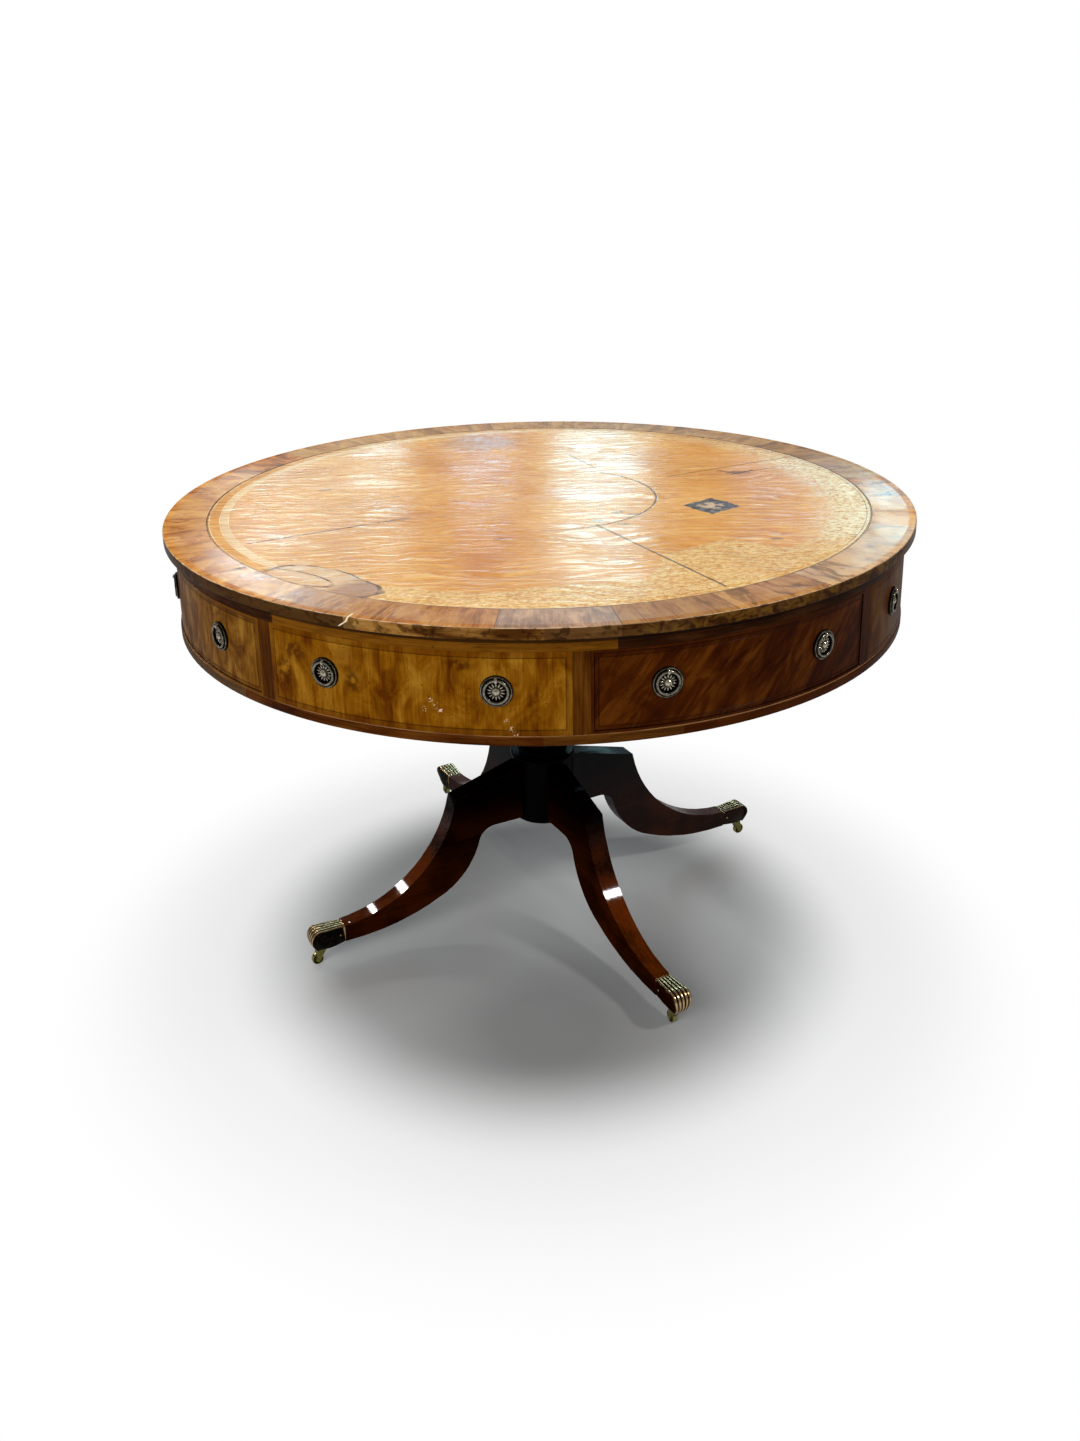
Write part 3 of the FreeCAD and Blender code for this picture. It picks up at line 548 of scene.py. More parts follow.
screws = []
for side in (-1, 1):
    place = Matrix.Translation((cap_start + SCREW_ALONG, side * CAP_HALF_WIDTH, SCREW_HEIGHT))
    screw = ball(SCREW_RADIUS, 16, 8, place, Matrix.Diagonal((1, 0.4, 1, 1)))
    stand_proud(screw, [SCREW_RUB] * len(screw.data.vertices))
    screws.append(screw)
cap = joined("cap", [cap, *screws])
caps = [moved_copy(cap, "cap_" + side, rotation(heading)) for side, heading in SIDES.items()]
bpy.data.objects.remove(cap)
fit(joined("reeded_caps", caps), CAP_BRASS, "pedestal", "aged_brass", "toe_caps")

# Casters
# A swivelling fork of cast brass under each toe, with its pintle let up into the cap and the leg.
# A small turned brass wheel runs on an axle between its cheeks.

HORN_EASING = 0.0003
AXLE_HOLE = 0.0017
HUB = 0.0040
RIM = 0.0079
WEB_DEPTH = 0.0008
TREAD_ROUNDING = 0.0015
TREAD_BAND = 0.0012
STEP_SLANT = 0.0004
HORN_RUB = 0.6
CASTER_BRASS = cast_brass("caster brass", paint(40, 42, 14), paint(122, 116, 54), paint(196, 190, 120), gloss=0.26)


def arc(centre, radius, start, end, steps=6):
    """Points along an arc of an outline, with its angles in degrees."""
    angles = [math.radians(start + (end - start) * step / steps) for step in range(steps + 1)]
    return [(centre[0] + radius * math.cos(angle), centre[1] + radius * math.sin(angle)) for angle in angles]


def turned(name, outline, steps=180, outward=False):
    """A piece as from a lathe: an outline of (reach, height) points spun round Z, or round X if it faces outward.

    An outline that starts off the axis is closed."""
    mesh = bpy.data.meshes.new(name)
    count = len(outline)
    last = count if outline[0][0] > 0 else count - 1
    places = [(height, 0, reach) if outward else (reach, 0, height) for reach, height in outline]
    mesh.from_pydata(places, [(i, (i + 1) % count) for i in range(last)], [])
    piece = placed(name, mesh)
    edit(piece)
    bpy.ops.mesh.spin(steps=steps, angle=math.tau, center=(0, 0, 0), axis=(1, 0, 0) if outward else (0, 0, 1))
    bpy.ops.mesh.remove_doubles(threshold=1e-6)
    bpy.ops.mesh.normals_make_consistent(inside=False)
    smooth(piece)
    return piece


for side, heading in SIDES.items():
    horn = eased_copy(f"caster_{side}_horn", HORN_EASING, 2)
    stand_proud(horn, [HORN_RUB] * len(horn.data.vertices))
    fit(horn, CASTER_BRASS, f"caster_{side}", "aged_brass", f"caster_{side}_horn")
    low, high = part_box(f"caster_{side}_wheel")
    tread = (high.z - low.z) / 2
    half = min(high.x - low.x, high.y - low.y) / 2
    web = half - WEB_DEPTH
    face = [(AXLE_HOLE, half), (HUB, half), (HUB + STEP_SLANT, web), (RIM - STEP_SLANT, web), (RIM, half)]
    wheel = turned("wheel_" + side, [
        *[(reach, -out) for reach, out in face],
        *arc((tread - TREAD_ROUNDING, TREAD_ROUNDING - half), TREAD_ROUNDING, -90, 0, 4),
        *arc((tread - TREAD_ROUNDING, half - TREAD_ROUNDING), TREAD_ROUNDING, 0, 90, 4),
        *reversed(face)], 48, outward=True)
    stand_proud(wheel, [
        0.8 if math.hypot(corner.co.y, corner.co.z) > tread - TREAD_BAND else 0.2
        for corner in wheel.data.vertices])
    wheel.data.transform(Matrix.Translation((low + high) / 2) @ rotation(heading + 90))
    fit(wheel, CASTER_BRASS, f"roller_{side}", "aged_brass", f"caster_{side}_wheel")

# Turning gear
# An iron spindle stands in the column and turns in a bush in the drum's hub, held by a collar.
# A flat iron ring between drum and platform carries the weight.

iron = Finish("oiled iron", Metallic=0.9)
rust = iron.noise(iron.place, 60.0, 4.0)
iron.ramp(rust, (0.35, paint(40, 38, 36)), (0.7, paint(84, 76, 68)))
IRON = iron.show(Roughness=iron.fade(rust, 0.3, 0.7, 0.35, 0.6))
dress(IRON, "spindle", "spindle_collar", "hub_bush", "bearing_ring")

# Carcase
# The boards, guides and hub inside the drum, of plain softwood that was never polished.
# They keep their shapes from the frame.

SOFTWOOD = polished_wood("softwood", paint(120, 88, 54), paint(158, 122, 80), paint(184, 148, 104),
                         grain_along="X", figure=12.0, gloss=0.6)
dress(SOFTWOOD, "base_board", "drawer_guides", "hub_frame", "hub_block", "top_board")

# Base rail
# A flat band of mahogany round the foot of the drum, bent and glued to the base board.
# Its upper edge is rounded to a small ledge, which is painted pale as a highlight.

PHOTO_TURN = 28.0


def round_the_drum():
    """Azimuth in degrees, 0 towards the camera and more to its right, the length round to it, reach and height."""
    nodes, given = effect_group("round the drum", Vector="Vector")
    seen = nodes.turn(given["Vector"], PHOTO_TURN)
    across, away, height = nodes.split(seen)
    azimuth = nodes.maths("ARCTAN2", across, nodes.times(away, -1.0))
    reach = nodes.length(nodes.scaled(seen, 1, 1, 0))
    return nodes.give(
        Azimuth=nodes.maths("DEGREES", azimuth), Round=nodes.times(azimuth, reach), Reach=reach, Height=height)


ROUND = round_the_drum()


def banded_wood(name, dark, middle, light, patches, ledge=None, mottle=0.55):
    """Polished wood bent round the drum. patches are (start, end, paint) in degrees of azimuth.

    ledge is (height, height, paint) for a painted highlight along the upper edge, from the first height to the second."""
    finish = Finish(name, Specular_IOR_Level=0.05)
    around = finish.around = finish.effect(ROUND, Vector=finish.place)
    board = finish.add("CombineXYZ", {"X": around["Reach"], "Y": around["Height"], "Z": around["Round"]})
    grain, tone = finish.grained(board, 26.0, mottle, (0.36, dark), (0.5, middle), (0.66, light))
    wear = finish.effect(WEAR, Vector=finish.place)
    for start, end, patch in patches:
        where = finish.between(around["Azimuth"], start, end, 0.12)
        toned = finish.mix(finish.fade(tone, 0.34, 0.62), finish.mix(0.55, patch, dark), patch)
        finish.lay(toned, where, 0.85)
    finish.lay(dark, grain["Pores"], 0.4)
    finish.lay(dark, wear["Specks"], 0.6)
    # Painted highlight along the rounded upper edge
    if ledge:
        low, high, worn = ledge
        ledge_glint = finish.times(finish.fade(around["Height"], low, high), finish.fade(wear["Clouds"], 0.35, 0.55, 0.35, 1.0))
        finish.lay(worn, ledge_glint)
    finish.show(Roughness=finish.fade(wear["Clouds"], 0.35, 0.7, 0.29, 0.49),
                Normal=finish.bump(grain["Streaks"], 0.1, 0.0004))
    return finish


low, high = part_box("base_rail")
RAIL_THICKNESS = 0.0365
RAIL_ROUNDING = 0.003
FOOT_ROUNDING = 0.001
rail_inner = high.x - RAIL_THICKNESS
base_rail = turned("base_band", [
    (rail_inner, low.z), *arc((high.x - FOOT_ROUNDING, low.z + FOOT_ROUNDING), FOOT_ROUNDING, -90, 0, 3),
    *arc((high.x - RAIL_ROUNDING, high.z - RAIL_ROUNDING), RAIL_ROUNDING, 0, 90), (rail_inner, high.z)])
# The ledge along its top is a painted highlight
finish = banded_wood(
    "base band mahogany", paint(44, 18, 3), paint(74, 38, 9), paint(100, 60, 22),
    [(0.2, 18, paint(94, 58, 22)), (18, 62, paint(70, 34, 9)), (-120, -44, paint(92, 70, 44))],
    ledge=(high.z - 0.0012, high.z - 0.0004, paint(156, 112, 72)))
fit(base_rail, finish.show(), "drum", "mahogany", "base_rail")

# Top rail
# The mahogany band over the drawers, glued under the top board.
# A cove is cut in it under the overhang of the top, with a small fillet below, and the cove is painted dark as shade.

low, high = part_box("top_rail")
DRUM_REACH = 0.595
COVE_HEIGHT = 0.009
FILLET = 0.0012
cove = high.x - DRUM_REACH
cove_foot = high.z - COVE_HEIGHT
top_rail = turned("frieze_cove", [
    (rail_inner, low.z), (DRUM_REACH, low.z), (DRUM_REACH, cove_foot - 0.0016),
    (DRUM_REACH + FILLET, cove_foot - 0.001), (DRUM_REACH + FILLET, cove_foot),
    *arc((high.x, cove_foot), cove - FILLET, 180, 95, 8), (high.x, high.z), (rail_inner, high.z)])
finish = banded_wood(
    "top rail mahogany", paint(28, 12, 3), paint(52, 28, 12), paint(80, 48, 22),
    [(-37, 9.3, paint(128, 80, 20))])
# Painted shade: the cove under the overhang of the top is painted dark
cove_shade = finish.fade(finish.around["Height"], cove_foot - 0.001, cove_foot + 0.001, 0.0, 0.75)
finish.lay(paint(26, 12, 4), cove_shade)
fit(top_rail, finish.show(), "drum", "mahogany", "top_rail")

# Stiles
# Eight mahogany posts between the drawers and the dummy fronts, let into both rails.
# Their grain is upright, and they are browner at the left of the photograph.

finish = Finish("stile mahogany", Specular_IOR_Level=0.04)
grain, tone = finish.grained(
    finish.place, 18.0, 0.5, (0.36, paint(50, 26, 6)), (0.5, paint(82, 46, 13)), (0.66, paint(108, 68, 26)))
brown = finish.colour
finish.ramp(tone, (0.36, paint(34, 15, 5)), (0.5, paint(58, 28, 10)), (0.66, paint(78, 42, 18)))
finish.lay(brown, finish.between(finish.effect(ROUND, Vector=finish.place)["Azimuth"], -70, 8, 0.3))
finish.lay(paint(24, 10, 3), grain["Pores"], 0.4)
stile_wood = finish.show(Roughness=finish.fade(tone, 0.3, 0.7, 0.45, 0.32),
                         Normal=finish.bump(grain["Streaks"], 0.12, 0.0004))
dress(stile_wood, "frieze_stiles")

# Dummy fronts
# Four bowed fronts that don't open, veneered like the drawers, with a line let in round them.
# Each is made as a flat board, cut across into narrow strips, and bowed to the round of the drum.

LINE_WIDTH = 0.0009
LINE_DEPTH = 0.0004
STRIPS = 40


def pick_faces(piece, wanted):
    """Opens a piece with only those faces chosen that a test wants."""
    edit(piece)
    bpy.ops.mesh.select_mode(type="FACE")
    bpy.ops.mesh.select_all(action="DESELECT")
    bpy.ops.object.mode_set(mode="OBJECT")
    for face in piece.data.polygons:
        face.select = wanted(face)
    bpy.ops.object.mode_set(mode="EDIT")


def bowed_front(name, half, low, high, back, reach, border, easing, straight, bead=0.0, proud=0.0):
    """A front board: flat at first, with its bead raised and its line cut, then bowed about the column.

    straight keeps its two ends in line with the drawer's slide, and otherwise they point at the column."""
    bpy.ops.mesh.primitive_cube_add(size=1, location=(0, 0, 0))
    front = bpy.context.object
    front.name = name
    front.data.transform(
        Matrix.Translation((0, (proud - back) / 2, (low + high) / 2))
        @ Matrix.Diagonal((half * 2, back + proud, high - low, 1)))
    if bead:
        pick_faces(front, lambda face: face.normal.y > 0.9)
        bpy.ops.mesh.inset(thickness=bead)
        bpy.ops.mesh.extrude_region_move(TRANSFORM_OT_translate={"value": (0, -proud, 0)})
    bevel(front, easing, 3)
    field = max(face.area for face in front.data.polygons if face.normal.y > 0.9)
    pick_faces(front, lambda face: face.normal.y > 0.9 and face.area > field * 0.99)
    bpy.ops.mesh.inset(thickness=border)
    bpy.ops.mesh.inset(thickness=LINE_WIDTH / 2, depth=-LINE_DEPTH)
    bpy.ops.mesh.inset(thickness=LINE_WIDTH / 2, depth=LINE_DEPTH)
    clear()
    shape = bmesh.new()
    shape.from_mesh(front.data)
    for strip in range(1, STRIPS):
        bmesh.ops.bisect_plane(shape, geom=[*shape.verts, *shape.edges, *shape.faces],
                               plane_co=(half * (2 * strip / STRIPS - 1), 0, 0), plane_no=(1, 0, 0))
    shape.to_mesh(front.data)
    shape.free()
    for corner in front.data.vertices:
        across, out, height = corner.co
        if straight:
            corner.co = (math.sqrt((reach + out) ** 2 - across ** 2), across, height)
        else:
            corner.co = ((reach + out) * math.cos(across / reach), (reach + out) * math.sin(across / reach), height)
    edit(front)
    bpy.ops.mesh.normals_make_consistent(inside=False)
    smooth(front)
    return front


def front_veneer(name, turned_by, dark, middle, light, half, low, high, line,
                 slope=0.0, seed=0.0, bead=0.0, figure=26.0):
    """Figured veneer on a bowed front, inside a darker border and a thin line."""
    finish = Finish(name, Specular_IOR_Level=0.04)
    wear = finish.effect(WEAR, Vector=finish.place)
    out, along, height = finish.split(finish.turn(finish.place, turned_by))
    angle = finish.plus(finish.maths("ARCTAN2", along, out), math.pi / 4)
    quarter = finish.maths("FLOORED_MODULO", angle, math.pi / 2)
    round_to = finish.times(finish.less(quarter, math.pi / 4), DRUM_REACH)
    side = finish.less(half, finish.maths("ABSOLUTE", round_to))
    inside = finish.least(side, finish.less(high, height), finish.less(height, low))
    lean = finish.less(round_to, finish.times(height, slope))
    board = finish.add("CombineXYZ", {"X": finish.plus(lean, seed), "Y": seed, "Z": height})
    grain = finish.effect(GRAIN, Vector=board, Figure=15.0)
    flame = finish.noise(finish.scaled(board, 1, 1, 0.5), figure, 5.0, 0.62, 0.9)
    tone = finish.weigh((flame, 0.76), (grain["Streaks"], 0.24))
    finish.ramp(tone, (0.38, dark), (0.5, middle), (0.62, light))
    finish.lay(dark, grain["Pores"], 0.5)
    finish.lay(dark, finish.fade(wear["Clouds"], 0.55, 0.7, 0.0, 0.45))
    finish.lay(dark, wear["Specks"], 0.75)
    finish.lay(dark, finish.fade(inside, line, line - 0.0012, 0.0, 0.45))
    cut = finish.band(inside, line, 0.0005, 0.0006)
    finish.lay(paint(34, 16, 5), cut, 0.6)
    if bead:
        finish.lay(middle, finish.fade(inside, bead + 0.0004, bead - 0.0004, 0.0, 0.6))
        # A near-black line at the foot of the bead: painted shade in the crease there
        foot = finish.band(inside, bead + 0.0004, 0.0004, 0.0006)
        finish.lay(paint(10, 4, 1), foot, 0.85)
    waves = finish.plus(grain["Streaks"], finish.noise(board, 60.0, 2.0))
    finish.show(Roughness=finish.fade(wear["Clouds"], 0.35, 0.7, 0.26, 0.42),
                Normal=finish.bump(waves, 0.15, 0.0004))
    return finish


CORNERS = {"back_right": 45, "back_left": 135, "front_left": 225, "front_right": 315}
PANEL_HALF_ANGLE = 20.8
PANEL_THICKNESS = 0.018
PANEL_BORDER = 0.008
front_low, front_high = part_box("dummy_fronts")
panel_half = DRUM_REACH * math.radians(PANEL_HALF_ANGLE)
panels = []
for corner, heading in CORNERS.items():
    panel = bowed_front("panel_" + corner, panel_half, front_low.z, front_high.z, PANEL_THICKNESS, DRUM_REACH,
                        PANEL_BORDER, 0.0004, False)
    panel.data.transform(rotation(heading))
    panels.append(panel)
finish = front_veneer(
    "dummy veneer", -45, paint(86, 44, 3), paint(124, 77, 11), paint(154, 106, 32),
    panel_half, front_low.z, front_high.z, PANEL_BORDER)
around = finish.effect(ROUND, Vector=finish.place)


def spot(across, up, size, squash=1.0):
    """A round mask at an azimuth and a height on the drum, as large as size."""
    off_round = finish.less(around["Round"], DRUM_REACH * math.radians(across))
    off_height = finish.times(finish.less(around["Height"], up), squash)
    off = finish.length(finish.add("CombineXYZ", {"X": off_round, "Y": off_height}))
    return finish.fade(off, size, size * 0.35)


STAINS = (
    (-10.2, 0.703, 0.026, 2.4), (-35.4, 0.655, 0.020, 0.7), (-24.5, 0.664, 0.016, 0.7), (-33.5, 0.690, 0.030, 1.6))
CHIPS = ((-13.8, 0.6516, 0.005), (-13.1, 0.6440, 0.006), (-12.6, 0.6388, 0.005), (-14.6, 0.6385, 0.005),
         (-4.3, 0.6265, 0.005), (-3.7, 0.6154, 0.006), (-3.2, 0.6075, 0.005))
cloudy = finish.fade(finish.noise(finish.place, 90.0, 3.0), 0.4, 0.56)
stain = finish.times(finish.most(*[spot(*mark) for mark in STAINS]), cloudy)
finish.lay(paint(62, 30, 8), stain, 0.7)
redder = finish.between(around["Azimuth"], -70, 20, 2.0)
finish.lay(finish.mix(0.62, finish.colour, paint(54, 24, 8)), finish.less(1.0, redder))
flaky = finish.fade(finish.noise(finish.place, 420.0, 1.0), 0.55, 0.6)
finish.lay(paint(222, 186, 150), finish.most(*[spot(*mark) for mark in CHIPS]), flaky)
fit(joined("dummy_panels", panels), finish.show(), "drum", "figured_mahogany", "dummy_fronts")

# Drawers
# Four drawers with bowed, veneered fronts, each with a cockbead round it, on open oak boxes.
# They are made as the dummy fronts are, but their ends run in line with the slide.

BEAD_WIDTH = 0.0035
BEAD_PROUD = 0.0015
FRONT_REACH = 0.594
FRONT_THICKNESS = 0.022
FRONT_BORDER = 0.005
BEAD_ROUNDING = 0.0012
oak = polished_wood("drawer oak", paint(122, 88, 50), paint(164, 126, 78), paint(192, 156, 106),
                    grain_along="X", figure=10.0, gloss=0.5)
DRAWER_TONES = {
    "right": (paint(44, 20, 5), paint(66, 34, 11), paint(92, 54, 22)),
    "back": (paint(40, 18, 4), paint(62, 32, 9), paint(84, 48, 18)),
    "left": (paint(72, 38, 4), paint(114, 72, 20), paint(148, 106, 42)),
    "front": (paint(48, 20, 2), paint(68, 32, 5), paint(92, 50, 14)),
}
DRAWER_SLOPES = {"right": 0.75, "back": 0.75, "left": 0.0, "front": 0.75}
drawer_low, drawer_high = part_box("drawer_front_front")
drawer_half = drawer_high.x
for side, heading in SIDES.items():
    front = bowed_front(f"front_{side}", drawer_half, drawer_low.z, drawer_high.z, FRONT_THICKNESS, FRONT_REACH,
                        FRONT_BORDER, BEAD_ROUNDING, True, BEAD_WIDTH, BEAD_PROUD)
    front.data.transform(rotation(heading))
    finish = front_veneer(
        f"drawer veneer {side}", -heading, *DRAWER_TONES[side], FRONT_REACH * math.asin(drawer_half / FRONT_REACH),
        drawer_low.z, drawer_high.z, BEAD_WIDTH + BEAD_ROUNDING + FRONT_BORDER,
        slope=DRAWER_SLOPES[side], seed=heading / 100, bead=BEAD_WIDTH, figure=34.0)
    fit(front, finish.show(), f"drawer_{side}", "figured_mahogany", f"drawer_{side}_front")
    dress(oak, f"drawer_{side}_tray")

# Ring handles
# A cast brass back plate with a rounded rim and a flower of petals round a boss,
# and a ring that hangs in the bored lug at its top. Modelled once, and copied to each place.

HANDLE_BRASS = cast_brass("handle brass", paint(14, 13, 10), paint(64, 58, 46), paint(244, 232, 206), gloss=0.2)
PLATE_REACH = 0.0215
RING_REACH = 0.0155
RING_WIRE = 0.002
STANDOFF = 0.004
LUG_REACH = 0.0030
LUG_WIRE = 0.0009
POST_RADIUS = 0.0015
POST_STANDOFF = 0.0004
PETALS = 14
PETAL_REACH = 0.0087
PETAL_STANDOFF = 0.0014
PETAL_SIZE = (0.0019, 0.0015, 0.0042)
HOLLOW_HEIGHT = 0.0012
RUBBED_HEIGHT = 0.0022
RIM_START = 0.0135
RIM_RUB = 0.6

dish = turned("dish", [
    (0, 0), (PLATE_REACH, 0), (PLATE_REACH, 0.0014), (PLATE_REACH - 0.0006, 0.0030), (PLATE_REACH - 0.0018, 0.0038),
    (PLATE_REACH - 0.0026, 0.0034), (PLATE_REACH - 0.0040, 0.0025), (PLATE_REACH - 0.0044, 0.0012),
    (0.0129, 0.0010), (0.0124, 0.0016), (0.0117, 0.0018), (0.0111, 0.0012), (0.0056, 0.0014),
    (0.0048, 0.0040), (0.0044, 0.0048), (0.0038, 0.0046), (0.0032, 0.0052), (0.0019, 0.0062), (0, 0.0064)],
    72, outward=True)
petals = [
    ball(1, 12, 8, rotation(360 * number / PETALS, "X"), Matrix.Translation((PETAL_STANDOFF, 0, PETAL_REACH)),
         Matrix.Diagonal((*PETAL_SIZE, 1)))
    for number in range(PETALS)]


def wire_ring(reach, wire, segments, sides, *moves):
    """A ring of round wire, lying flat until matrices turn it and set it in its place."""
    bpy.ops.mesh.primitive_torus_add(
        major_radius=reach, minor_radius=wire, major_segments=segments, minor_segments=sides, location=(0, 0, 0))
    loop = bpy.context.object
    for move in reversed(moves):
        loop.data.transform(move)
    smooth(loop, ROUND_ANGLE)
    return loop


lug = wire_ring(LUG_REACH, LUG_WIRE, 24, 12, Matrix.Translation((STANDOFF, 0, RING_REACH)),
                Matrix.Diagonal((1, 2.0, 1, 1)), rotation(90, "X"))
post = ball(POST_RADIUS, 20, 12, Matrix.Translation((POST_STANDOFF, 0, RING_REACH + LUG_REACH)))
plate = joined("plate", [dish, *petals, lug, post])
stand_proud(plate, [
    (corner.co.x - HOLLOW_HEIGHT) / RUBBED_HEIGHT
    * (RIM_RUB if math.hypot(corner.co.y, corner.co.z) > RIM_START else 1) for corner in plate.data.vertices])
ring = wire_ring(RING_REACH, RING_WIRE, 72, 18, Matrix.Translation((STANDOFF, 0, 0)), rotation(90, "Y"))
stand_proud(ring, [0.34 + (corner.co.x - STANDOFF) / RING_WIRE * 0.4 for corner in ring.data.vertices])

plates = {}
for joint in frame["joints"]:
    if not joint["name"].startswith("ring_"):
        continue
    pull = joint["child"]
    x, y, z = joint["pos_m"]
    reach = math.hypot(x, y) - STANDOFF
    place = rotation(math.degrees(math.atan2(y, x))) @ Matrix.Translation((reach, 0, z - RING_REACH))
    fit(moved_copy(ring, "pull_" + pull, place), HANDLE_BRASS, pull, "aged_brass", pull)
    owner = pull.replace("ring_", "").rsplit("_", 1)[0]
    node = "dummy_plates" if owner.startswith("dummy") else owner + "_plates"
    plates.setdefault(node, []).append(moved_copy(plate, "plate_" + pull, place))
for node, members in plates.items():
    body = "drum" if node == "dummy_plates" else node.replace("_plates", "")
    fit(joined("cast_" + node, members), HANDLE_BRASS, body, "aged_brass", node)
for pattern in (plate, ring):
    bpy.data.objects.remove(pattern)

# Crossband
# A border of mahogany veneer round the leather, cut in short pieces with their grain across it.
# Its colours are a group of their own, because the flat top of the edge band carries them on.

low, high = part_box("top_crossband")
leather_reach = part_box("leather_top")[1].x
BAND_GAP = 0.0003
TOP_STEPS = 256
BAND_PIECE = 15.0
BAND_START = 185.4
METRES_A_DEGREE = 0.0100
# Pieces with a tone of their own, the pale one at the front partly a painted reflection of the glare: from and to in
# degrees of azimuth, paint and how much of it
PIECE_TINTS = (
    (-35.4, -5.4, paint(166, 108, 60), 0.5), (-5.4, 9.6, paint(184, 152, 128), 0.75),
    (9.6, 24.6, paint(140, 98, 56), 0.65), (24.6, 39.6, paint(158, 112, 62), 0.5),
    (39.6, 69.6, paint(204, 168, 128), 0.6), (99.6, 181.0, paint(158, 136, 100), 0.6),
    (-181.0, -125.4, paint(160, 132, 92), 0.55))


def border_veneer():
    """Mahogany veneer with its grain across the border, each piece with a tone of its own; the pale front piece is
    partly a painted reflection of the glare.
    """
    nodes, given = effect_group("border veneer", Vector="Vector")
    around = nodes.effect(ROUND, Vector=given["Vector"])
    wear = nodes.effect(WEAR, Vector=given["Vector"])
    piece_place = nodes.maths("DIVIDE", nodes.plus(around["Azimuth"], BAND_START), BAND_PIECE)
    piece_number = nodes.maths("FLOOR", piece_place)
    piece_tone = nodes.add("TexWhiteNoise", {"W": piece_number}, "Value", noise_dimensions="1D")
    across = nodes.times(around["Azimuth"], METRES_A_DEGREE)
    board = nodes.add("CombineXYZ", {"X": across, "Y": piece_number, "Z": around["Reach"]})
    grain = nodes.effect(GRAIN, Vector=board, Figure=14.0)
    blotches = nodes.noise(nodes.scaled(board, 1, 1, 0.5), 34.0, 5.0, 0.65, 1.2)
    tone = nodes.weigh((grain["Figure"], 0.24), (grain["Streaks"], 0.22), (blotches, 0.48), (piece_tone, 0.08))
    nodes.ramp(tone, (0.40, paint(98, 46, 14)), (0.49, paint(184, 114, 50)), (0.58, paint(218, 160, 88)))
    for start, end, tint, share in PIECE_TINTS:
        where = nodes.between(around["Azimuth"], start, end, 0.05)
        toned = nodes.mix(nodes.fade(tone, 0.4, 0.58), nodes.mix(0.45, tint, paint(60, 28, 8)), tint)
        nodes.lay(toned, where, share)
    old_gold = nodes.times(nodes.between(around["Azimuth"], 22.0, 48.0, 3.0), nodes.fade(blotches, 0.5, 0.4))
    nodes.lay(paint(112, 76, 28), old_gold, 0.6)
    nodes.lay(paint(80, 40, 16), grain["Pores"], 0.4)
    joint = nodes.fade(nodes.maths("PINGPONG", piece_place, 0.5), 0.006, 0.002)
    nodes.lay(paint(60, 28, 10), joint, 0.7)
    foot = nodes.fade(around["Reach"], leather_reach + 0.0022, leather_reach + 0.0006)
    nodes.lay(paint(70, 36, 14), foot, 0.7)
    far_side = nodes.fade(nodes.maths("ABSOLUTE", around["Azimuth"]), 100.0, 124.0, 0.0, 0.35)
    front_side = nodes.times(nodes.band(around["Azimuth"], 11.0, 14.0, 12.0), 0.24)
    return nodes.give(
        Color=nodes.colour, Ripple=nodes.weigh((grain["Streaks"], 1), (blotches, 2.4)),
        Roughness=nodes.plus(nodes.fade(wear["Clouds"], 0.35, 0.7, 0.17, 0.3), nodes.most(far_side, front_side)))


BORDER = border_veneer()
band_inner = leather_reach + BAND_GAP
crossband = turned("crossband_veneer", [
    (band_inner, low.z), (high.x, low.z), (high.x, high.z), (band_inner, high.z)], TOP_STEPS)
band = Finish("crossband veneer", Specular_IOR_Level=0.4)
border = band.effect(BORDER, Vector=band.place)
band.colour = border["Color"]
crossband_wood = band.show(Roughness=border["Roughness"], Normal=band.bump(border["Ripple"], 0.25, 0.0006))
fit(crossband, crossband_wood, "drum", "crossband", "top_crossband")

# Edge band
# A solid mahogany edge round the top, jointed end to end and glued to the board.
# Its upper corner is painted pale as a highlight, and it has one crack.

low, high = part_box("edge_band")
EDGE_INNER = 0.598
EDGE_ROUNDING = 0.0015
edge = turned("edge_moulding", [
    (EDGE_INNER, low.z), *arc((high.x - EDGE_ROUNDING, low.z + EDGE_ROUNDING), EDGE_ROUNDING, -90, 0),
    *arc((high.x - EDGE_ROUNDING, high.z - EDGE_ROUNDING), EDGE_ROUNDING, 0, 90), (EDGE_INNER, high.z)], TOP_STEPS)
# The pale line along the upper corner is a painted highlight
finish = banded_wood(
    "edge mahogany", paint(74, 44, 16), paint(146, 102, 50), paint(176, 134, 76),
    [(0.5, 9.6, paint(90, 64, 40)), (9.6, 100, paint(56, 34, 20)), (-110, -24.3, paint(40, 24, 11))],
    ledge=(high.z - 0.0014, high.z - 0.0005, paint(214, 182, 146)), mottle=0.75)
blotches = finish.noise(finish.scaled(finish.place, 1, 1, 1.5), 64.0, 4.0, 0.65, 0.8)
right_part = finish.between(finish.around["Azimuth"], 12, 100, 2.0)
finish.lay(paint(118, 84, 30), right_part, finish.fade(blotches, 0.5, 0.6), 0.5)
finish.lay(paint(38, 20, 10), finish.fade(blotches, 0.5, 0.4), 0.65)
border = finish.effect(BORDER, Vector=finish.place)
finish.lay(border["Color"], finish.fade(finish.around["Height"], high.z - 0.0004, high.z - 0.0001))


def stroke(nodes, place, start, end, half, soft):
    """A mask of a straight mark between two places, given in the plane of the vector."""
    run = Vector(end) - Vector(start)
    from_start = nodes.vector("SUBTRACT", place, (*start, 0))
    along = nodes.vector("DOT_PRODUCT", from_start, (*(run / run.length_squared), 0), out="Value")
    along = nodes.maths("MINIMUM", nodes.maths("MAXIMUM", along, 0.0), 1.0)
    off = nodes.vector("SUBTRACT", from_start, nodes.vector("MULTIPLY", along, (*run, 0)))
    return nodes.fade(nodes.length(off), half + soft, half)


